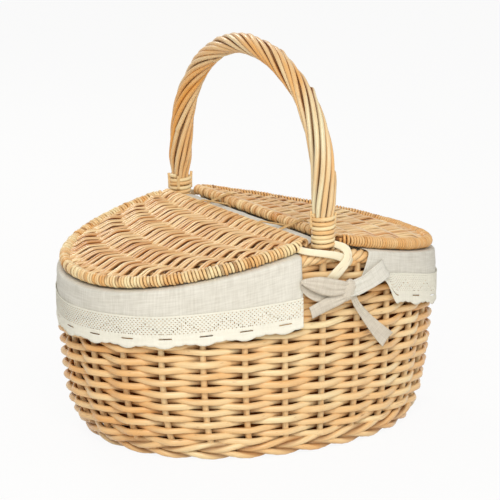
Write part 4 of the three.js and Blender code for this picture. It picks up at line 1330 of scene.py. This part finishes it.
    def lace(self) -> Surface:
        """The right half's lace: staggered pinholes, dots slanting down to slits, and a scalloped edge.

        Columns and rows are narrow where the holes are and wider between them, and the band runs out to
        nothing at the tied end.

        Returns:
            The lace.
        """
        form, stitches = self.form, self.stitches
        length = form.length()
        columns = stitches * self.scallops
        wide = np.tile([1.05, 0.85], columns // 2)
        place = np.concatenate([[0.0], np.cumsum(wide)]) / wide.sum()
        band = 0.5 * length - self.plain_end - self.lace_tied_end
        along = (self.lace_tied_end + band * place)[:, None]
        runs = along / length
        heights = np.array([1.0, 1.2] + [0.9, 1.0] * 9 + [1.5, 1.5, 1.1, 1.5, 1.9, 1.9, 1.9, 1.9])
        rows = len(heights)
        down = (np.concatenate([[0.0], np.cumsum(heights)]) / heights.sum())[None]
        notch = np.abs(np.cos(pi * self.scallops * place))[:, None] ** 0.8
        picot = np.abs(np.sin(pi * 4 * self.scallops * place))[:, None]
        edge = self.scallop * notch - self.picot * picot
        end = 0.2 + 0.8 * smooth(along, self.lace_tied_end, self.lace_tied_end + 26.0)
        fall = (self.lace_depth * down - edge * smooth(down, 0.7, 1.0)) * end
        column, row = np.meshgrid(np.arange(columns), np.arange(rows), indexing="ij")
        net = (row > 1) & (row < 20)
        pinhole = net & (row % 2 == 0) & (column % 2 == 0) & ((column // 2 + row // 2) % 2 == 0)
        slant = 21.0 - 14.0 * np.abs(2.0 * (column % stitches) / stitches - 1.0)
        dot = net & (np.abs(row - slant) < 0.75) & (column % 4 < 1)
        slit = (row == 22) & (np.abs(column % stitches - stitches / 2.0) < 7.0)
        corner_column, corner_row = np.arange(columns + 1)[:, None], np.arange(rows + 1)[None]
        relief = 0.3 * np.cos(pi * (corner_row / 2.0 + corner_column / 2.0)) * (corner_row < 21)
        relief = relief + 0.35 * (corner_row > rows - 3) + 0.35 * (corner_row < 2)
        stand = self.lace_stand + self.billow(runs) * (1.0 + 0.25 * down) + relief
        points = form.point(runs, -stand, self.hem_height(runs) + self.lace_lap - fall)
        return grid(points, stacked(along, fall), keep=~(pinhole | dot | slit))

    def bridge(self) -> None:
        """The bar between the lids, and the linen over it: an arch over the bar with creases along it."""
        steps = self.bridge_steps
        path = stacked(0.0, np.linspace(-self.bar_half, self.bar_half, steps), self.bar_height)
        bar = tubes(path, UP, self.bar_radius, 16, tone=0.5, shade=0.2, section=(2.2, 0.98))
        bar.piece("bridge_rod", BODY_WILLOW, ["bridge_bar"])
        long = np.linspace(-self.cover_half, self.cover_half, steps)[:, None]
        angle = np.linspace(pi, 0.0, 25)[None]
        rng = np.random.default_rng(43)
        place = long[:, 0] / (2.0 * self.cover_half)
        crease = waver(rng, 1, place, (3, 7, 13), 0.25)[0][:, None] * np.sin(3.0 * angle)
        x = self.cover_breadth * drawn_out(np.cos(angle), 0.55) + 0.2 * crease
        z = self.cover_foot + self.cover_rise * drawn_out(np.sin(angle), 0.5) + crease
        sheet = grid(stacked(x, long, z), stacked(long, angle * 12.0)).flipped()
        cover = sheet.piece("bridge_linen", LINEN, ["bridge_cover"], self.cloth)

    def hinge_ties(self, hand: str, turn: Array, place: float) -> None:
        """Two cord loops that hold a lid's hoop to the bridge: an arc round the hoop and a box round the bar.

        Args:
            hand: The lid's side.
            turn: Matrix that turns the right side's loops to that side.
            place: Distance of the loops from the middle.
        """
        angle = np.linspace(radians(105), radians(-56), 16)
        across = self.form.hinge_offset + self.tie_radius * np.cos(angle)
        arc = stacked(across, self.tie_height + self.tie_radius * np.sin(angle))
        loop = resampled(np.concatenate([arc, self.tie_box]), self.tie_steps, True)
        out = unit(stacked(loop[:, 0] - self.tie_middle[0], 0.0, loop[:, 1] - self.tie_middle[1]))
        for i, y in enumerate((-place, place), 1):
            strands = [stacked(loop[:, 0], y + shift, loop[:, 1]) for shift in (-self.tie_gap, self.tie_gap)]
            ties = tubes(np.stack(strands), out, self.tie_cord / 2.0, 8, True).placed(turn)
            ties.piece(f"{hand}_hinge_cord_{i}", TIE_CORD, [f"hinge_tie_{hand}_{i}"])

    def build(self) -> None:
        """Make the bag, the bridge, and each half's flap, lace and hinge cords."""
        self.bag()
        self.bridge()
        for hand, turn, place in zip(("right", "left"), (np.eye(3), HALF_TURN), self.tie_places):
            sheet, edging = self.flap().placed(turn), self.lace().placed(turn)
            lace = edging.piece(f"{hand}_lace", LACE, [f"lace_{hand}"], self.lace_cloth)
            flap = sheet.piece(f"{hand}_flap", LINEN, [f"flap_{hand}"], self.cloth)
            round(sheet.area(), 4)
            round(edging.area(), 4)
            self.hinge_ties(hand, turn, place)


@dataclass(frozen=True)
class Ribbon:
    """A ribbon of the bow. Its line gives X, distance behind the bow's face, Z and half width."""

    line: tuple[tuple[float, float, float, float], ...]
    crown: float
    pleat: float
    lean: tuple[float, float, float]
    steps: int = 48
    sides: int = 13

    def surface(self, face: float) -> Surface:
        """The line plus s * half width across it, crowned as 1 - s^2 and pleated at its root.

        Args:
            face: Y of the bow's face.

        Returns:
            The ribbon.
        """
        spine = curve([(x, face + y, z, half) for x, y, z, half in self.line], self.steps)
        path, half = spine[:, :3], spine[:, 3:]
        share = np.linspace(0.0, 1.0, self.steps)
        ahead = unit(np.gradient(path, axis=0))
        across = unit(np.asarray(self.lean) - (ahead @ np.asarray(self.lean))[:, None] * ahead)
        out = np.cross(across, ahead)
        s = np.linspace(-1.0, 1.0, self.sides)
        fold = self.crown * (1.0 - s**2) * smooth(share, 0.0, 0.3)[:, None]
        fold = fold + self.pleat * np.cos(3.0 * pi * s) * (1.0 - smooth(share, 0.1, 0.8))[:, None]
        points = path[:, None] + (half * s)[..., None] * across[:, None] + fold[..., None] * out[:, None]
        return grid(points, stacked(travelled(path)[:, None], half * s))


# Out to its tip in front, round the fold, and back behind and below.
LOOP = Ribbon(
    (
        (21.0, -4.0, 168.0, 5.4), (10.0, -5.6, 169.6, 7.6), (-2.0, -6.0, 171.8, 8.8),
        (-16.0, -5.2, 176.2, 8.0), (-29.0, -3.0, 179.6, 3.8), (-32.5, -1.2, 179.4, 1.8),
        (-27.0, 0.4, 175.0, 6.6), (-12.0, 0.4, 168.0, 10.2), (6.0, -0.6, 164.4, 8.4),
        (20.0, -2.2, 164.0, 4.6),
    ),
    crown=1.1, pleat=0.9, lean=(0.25, 0.0, 1.0),
)
# The flap's corner, gathered in a band down into the knot.
GATHER = Ribbon(
    (
        (20.0, -3.4, 165.6, 6.6), (30.0, -4.0, 167.6, 7.8), (40.0, -3.6, 170.2, 7.6),
        (50.0, -2.4, 173.6, 8.2), (60.0, -0.2, 177.2, 9.0), (68.0, 2.6, 180.0, 9.0),
        (72.0, 6.4, 181.4, 8.4),
    ),
    crown=1.2, pleat=1.2, lean=(-0.3, 0.36, 1.0),
)
# The short tail, down to the left behind the loop.
LEFT_TAIL = Ribbon(
    (
        (21.0, -2.4, 161.0, 4.6), (12.0, -2.2, 158.0, 6.0), (-2.0, -1.4, 154.4, 6.6),
        (-22.0, -1.2, 147.6, 6.2),
    ),
    crown=0.9, pleat=0.8, lean=(-0.2, 0.0, 1.0),
)
# The long tail, down to the right and flared to its end.
RIGHT_TAIL = Ribbon(
    (
        (25.0, -3.0, 162.0, 3.2), (31.0, -2.4, 150.0, 3.4), (44.0, -1.4, 134.0, 5.0),
        (58.0, -0.6, 119.0, 7.4), (71.0, 0.6, 107.0, 9.0),
    ),
    crown=1.0, pleat=0.8, lean=(0.75, 0.0, 0.65),
)


@dataclass(frozen=True)
class Bow:
    """A linen bow at a foot of the handle: the flap's gathered corner, a loop, a knot and two tails."""

    knot: tuple[float, float] = (21.5, 167.0)
    knot_half: float = 11.0
    knot_radius: float = 7.2
    knot_sides: int = 36
    face: float = -152.6
    cloth: float = 0.8

    def knotted(self) -> Surface:
        """The knot: a closed barrel pulled in at both ends, with pleats along it."""
        x, z = self.knot
        share = np.linspace(-1.0, 1.0, 21)
        path = stacked(x + 3.0 * share, self.face - 2.6 + 0.8 * share**2, z - 1.6 + self.knot_half * share)
        radius = self.knot_radius * (1.0 - 0.3 * share**2) * np.maximum(1.0 - np.abs(share) ** 6, 0.2)
        barrel = tubes(path, FRONT, radius, self.knot_sides, tone=0.5, section=(1.0, 0.55))
        pleat = 0.5 * np.cos(9.0 * np.arctan2(barrel.grain[:, 1], barrel.grain[:, 0]))
        out = unit(barrel.points - np.repeat(path, self.knot_sides, axis=0))
        return replace(barrel, points=barrel.points + pleat[:, None] * out)

    def build(self) -> None:
        """Make the bow at the front, and the same turned half round at the rear."""
        for foot, flap, turn in (("front", "right_flap", np.eye(3)), ("rear", "left_flap", HALF_TURN)):
            knot = self.knotted().placed(turn).piece(f"{foot}_knot", TIE_LINEN, [f"{foot}_tie_knot"])
            ribbons = (
                ("loop", LOOP, [f"{foot}_tie_left"], (0.12, 0.022)),
                ("gather", GATHER, [], (0.062, 0.0195)),
                ("left_tail", LEFT_TAIL, [], (0.048, 0.014)),
                ("right_tail", RIGHT_TAIL, [f"{foot}_tie_right"], (0.074, 0.018)),
            )
            for name, ribbon, nodes, flat in ribbons:
                sheet = ribbon.surface(self.face)
                finish, rests = (LINEN, flap) if name == "gather" else (TIE_LINEN, "woven_wall")
                item = sheet.placed(turn).piece(f"{foot}_{name}", finish, nodes, self.cloth)
                sheet.area()


@dataclass(frozen=True)
class Lamp:
    """A square soft lamp turned to the basket: place and size in metres, power in watts."""

    name: str
    place: tuple[float, float, float]
    size: float
    power: float
    colour: Colour
    aim: tuple[float, float, float] = (0.0, 0.0, 0.15)

    def build(self) -> None:
        """Make the lamp."""
        data = bpy.data.lights.new(self.name, "AREA")
        data.size = self.size
        data.energy = self.power
        data.color = linear(self.colour)[:3]
        item = bpy.data.objects.new(self.name, data)
        item.location = self.place
        item.rotation_euler = (Vector(self.aim) - Vector(self.place)).to_track_quat("-Z", "Y").to_euler()
        bpy.context.scene.collection.objects.link(item)


@dataclass(frozen=True)
class Studio:
    """A pale floor, soft lamps, a white surround and the camera."""

    azimuth: float = radians(-31.3)
    elevation: float = radians(14.75)
    away: float = 2600.0
    orbit: tuple[float, float, float] = (0.0, 0.0, 120.0)
    aim: tuple[float, float, float] = (2.0, 0.0, 176.6)
    lens: float = 180.43
    sensor: float = 36.0
    floor_half: float = 9000.0
    floor_colour: Colour = (238, 236, 232)
    floor_white: float = 0.92
    surround: float = 0.45
    lamps: tuple[Lamp, ...] = (
        Lamp("key", (-0.95, -1.75, 1.5), 1.2, 33.0, (255, 250, 242)),
        Lamp("fill", (1.9, -1.3, 0.9), 1.6, 5.0, (255, 248, 238)),
        Lamp("top", (0.05, 1.65, 1.4), 0.6, 10.0, (255, 252, 246)),
    )

    def camera(self) -> None:
        """The camera, turned to its aim."""
        a, e = self.azimuth, self.elevation
        back = Vector((sin(a) * cos(e), -cos(a) * cos(e), sin(e)))
        data = bpy.data.cameras.new("camera")
        data.lens = self.lens
        data.sensor_width = self.sensor
        data.clip_end = 100.0
        item = bpy.data.objects.new("camera", data)
        item.location = (Vector(self.orbit) + self.away * back) * MM
        look = Vector(self.aim) * MM - item.location
        item.rotation_euler = look.to_track_quat("-Z", "Y").to_euler()
        bpy.context.scene.collection.objects.link(item)
        bpy.context.scene.camera = item

    def seen(self, tree: Tree) -> Value:
        """1 for rays from the camera and through glossy or clear surfaces, else 0."""
        node = tree.nodes.new("ShaderNodeLightPath")
        names = ("Is Camera Ray", "Is Glossy Ray", "Is Transmission Ray")
        first, second, third = (Value(tree, node.outputs[name]) for name in names)
        return (first + second + third).between(0.0, 1.0)

    def floor(self) -> None:
        """A floor that shows white with the object's soft shadow."""
        half = self.floor_half * MM
        corners = [(-half, -half, 0), (half, -half, 0), (half, half, 0), (-half, half, 0)]
        mesh = bpy.data.meshes.new("floor")
        mesh.from_pydata(corners, [], [(0, 1, 2, 3)])
        material = bpy.data.materials.new("floor")
        tree = Tree(material)
        plain = tree.node("ShaderNodeBsdfDiffuse", None, {"Color": linear(self.floor_colour)})
        white = tree.node("ShaderNodeEmission", None, {"Color": WHITE, "Strength": 1.0})
        share = self.seen(tree) * self.floor_white
        both = tree.node("ShaderNodeMixShader", None, {0: share, 1: plain, 2: white})
        tree.node("ShaderNodeOutputMaterial", None, {"Surface": both})
        mesh.materials.append(material)
        item = bpy.data.objects.new("floor", mesh)
        bpy.context.scene.collection.objects.link(item)

    def world(self) -> None:
        """An even pale surround that shows white."""
        world = bpy.data.worlds.new("surround")
        bpy.context.scene.world = world
        tree = Tree(world)
        strength = self.seen(tree) * (1.0 - self.surround) + self.surround
        light = tree.node("ShaderNodeBackground", None, {"Color": WHITE, "Strength": strength})
        tree.node("ShaderNodeOutputWorld", None, {"Surface": light})

    def build(self) -> None:
        """Set up the floor, lamps, surround and camera."""
        self.floor()
        for lamp in self.lamps:
            lamp.build()
        self.world()
        self.camera()
        bpy.context.scene.view_settings.view_transform = "Standard"


def main() -> None:
    """Build the studio and every piece of the basket in order."""
    logging.basicConfig(level=logging.INFO, format="%(message)s")
    form = BodyForm()
    left = Lid("left", Body.LEFT_LID, form, 53)
    right = Lid("right", Body.RIGHT_LID, form, 61, slit=0.48, seam=0.42, edge_tone=0.95, edge_seam=0.9)
    for part in (Studio(), WovenWall(form), Handle(form), Liner(form), Bow(), left, right):
        part.build()


if __name__ == "__main__":
    main()
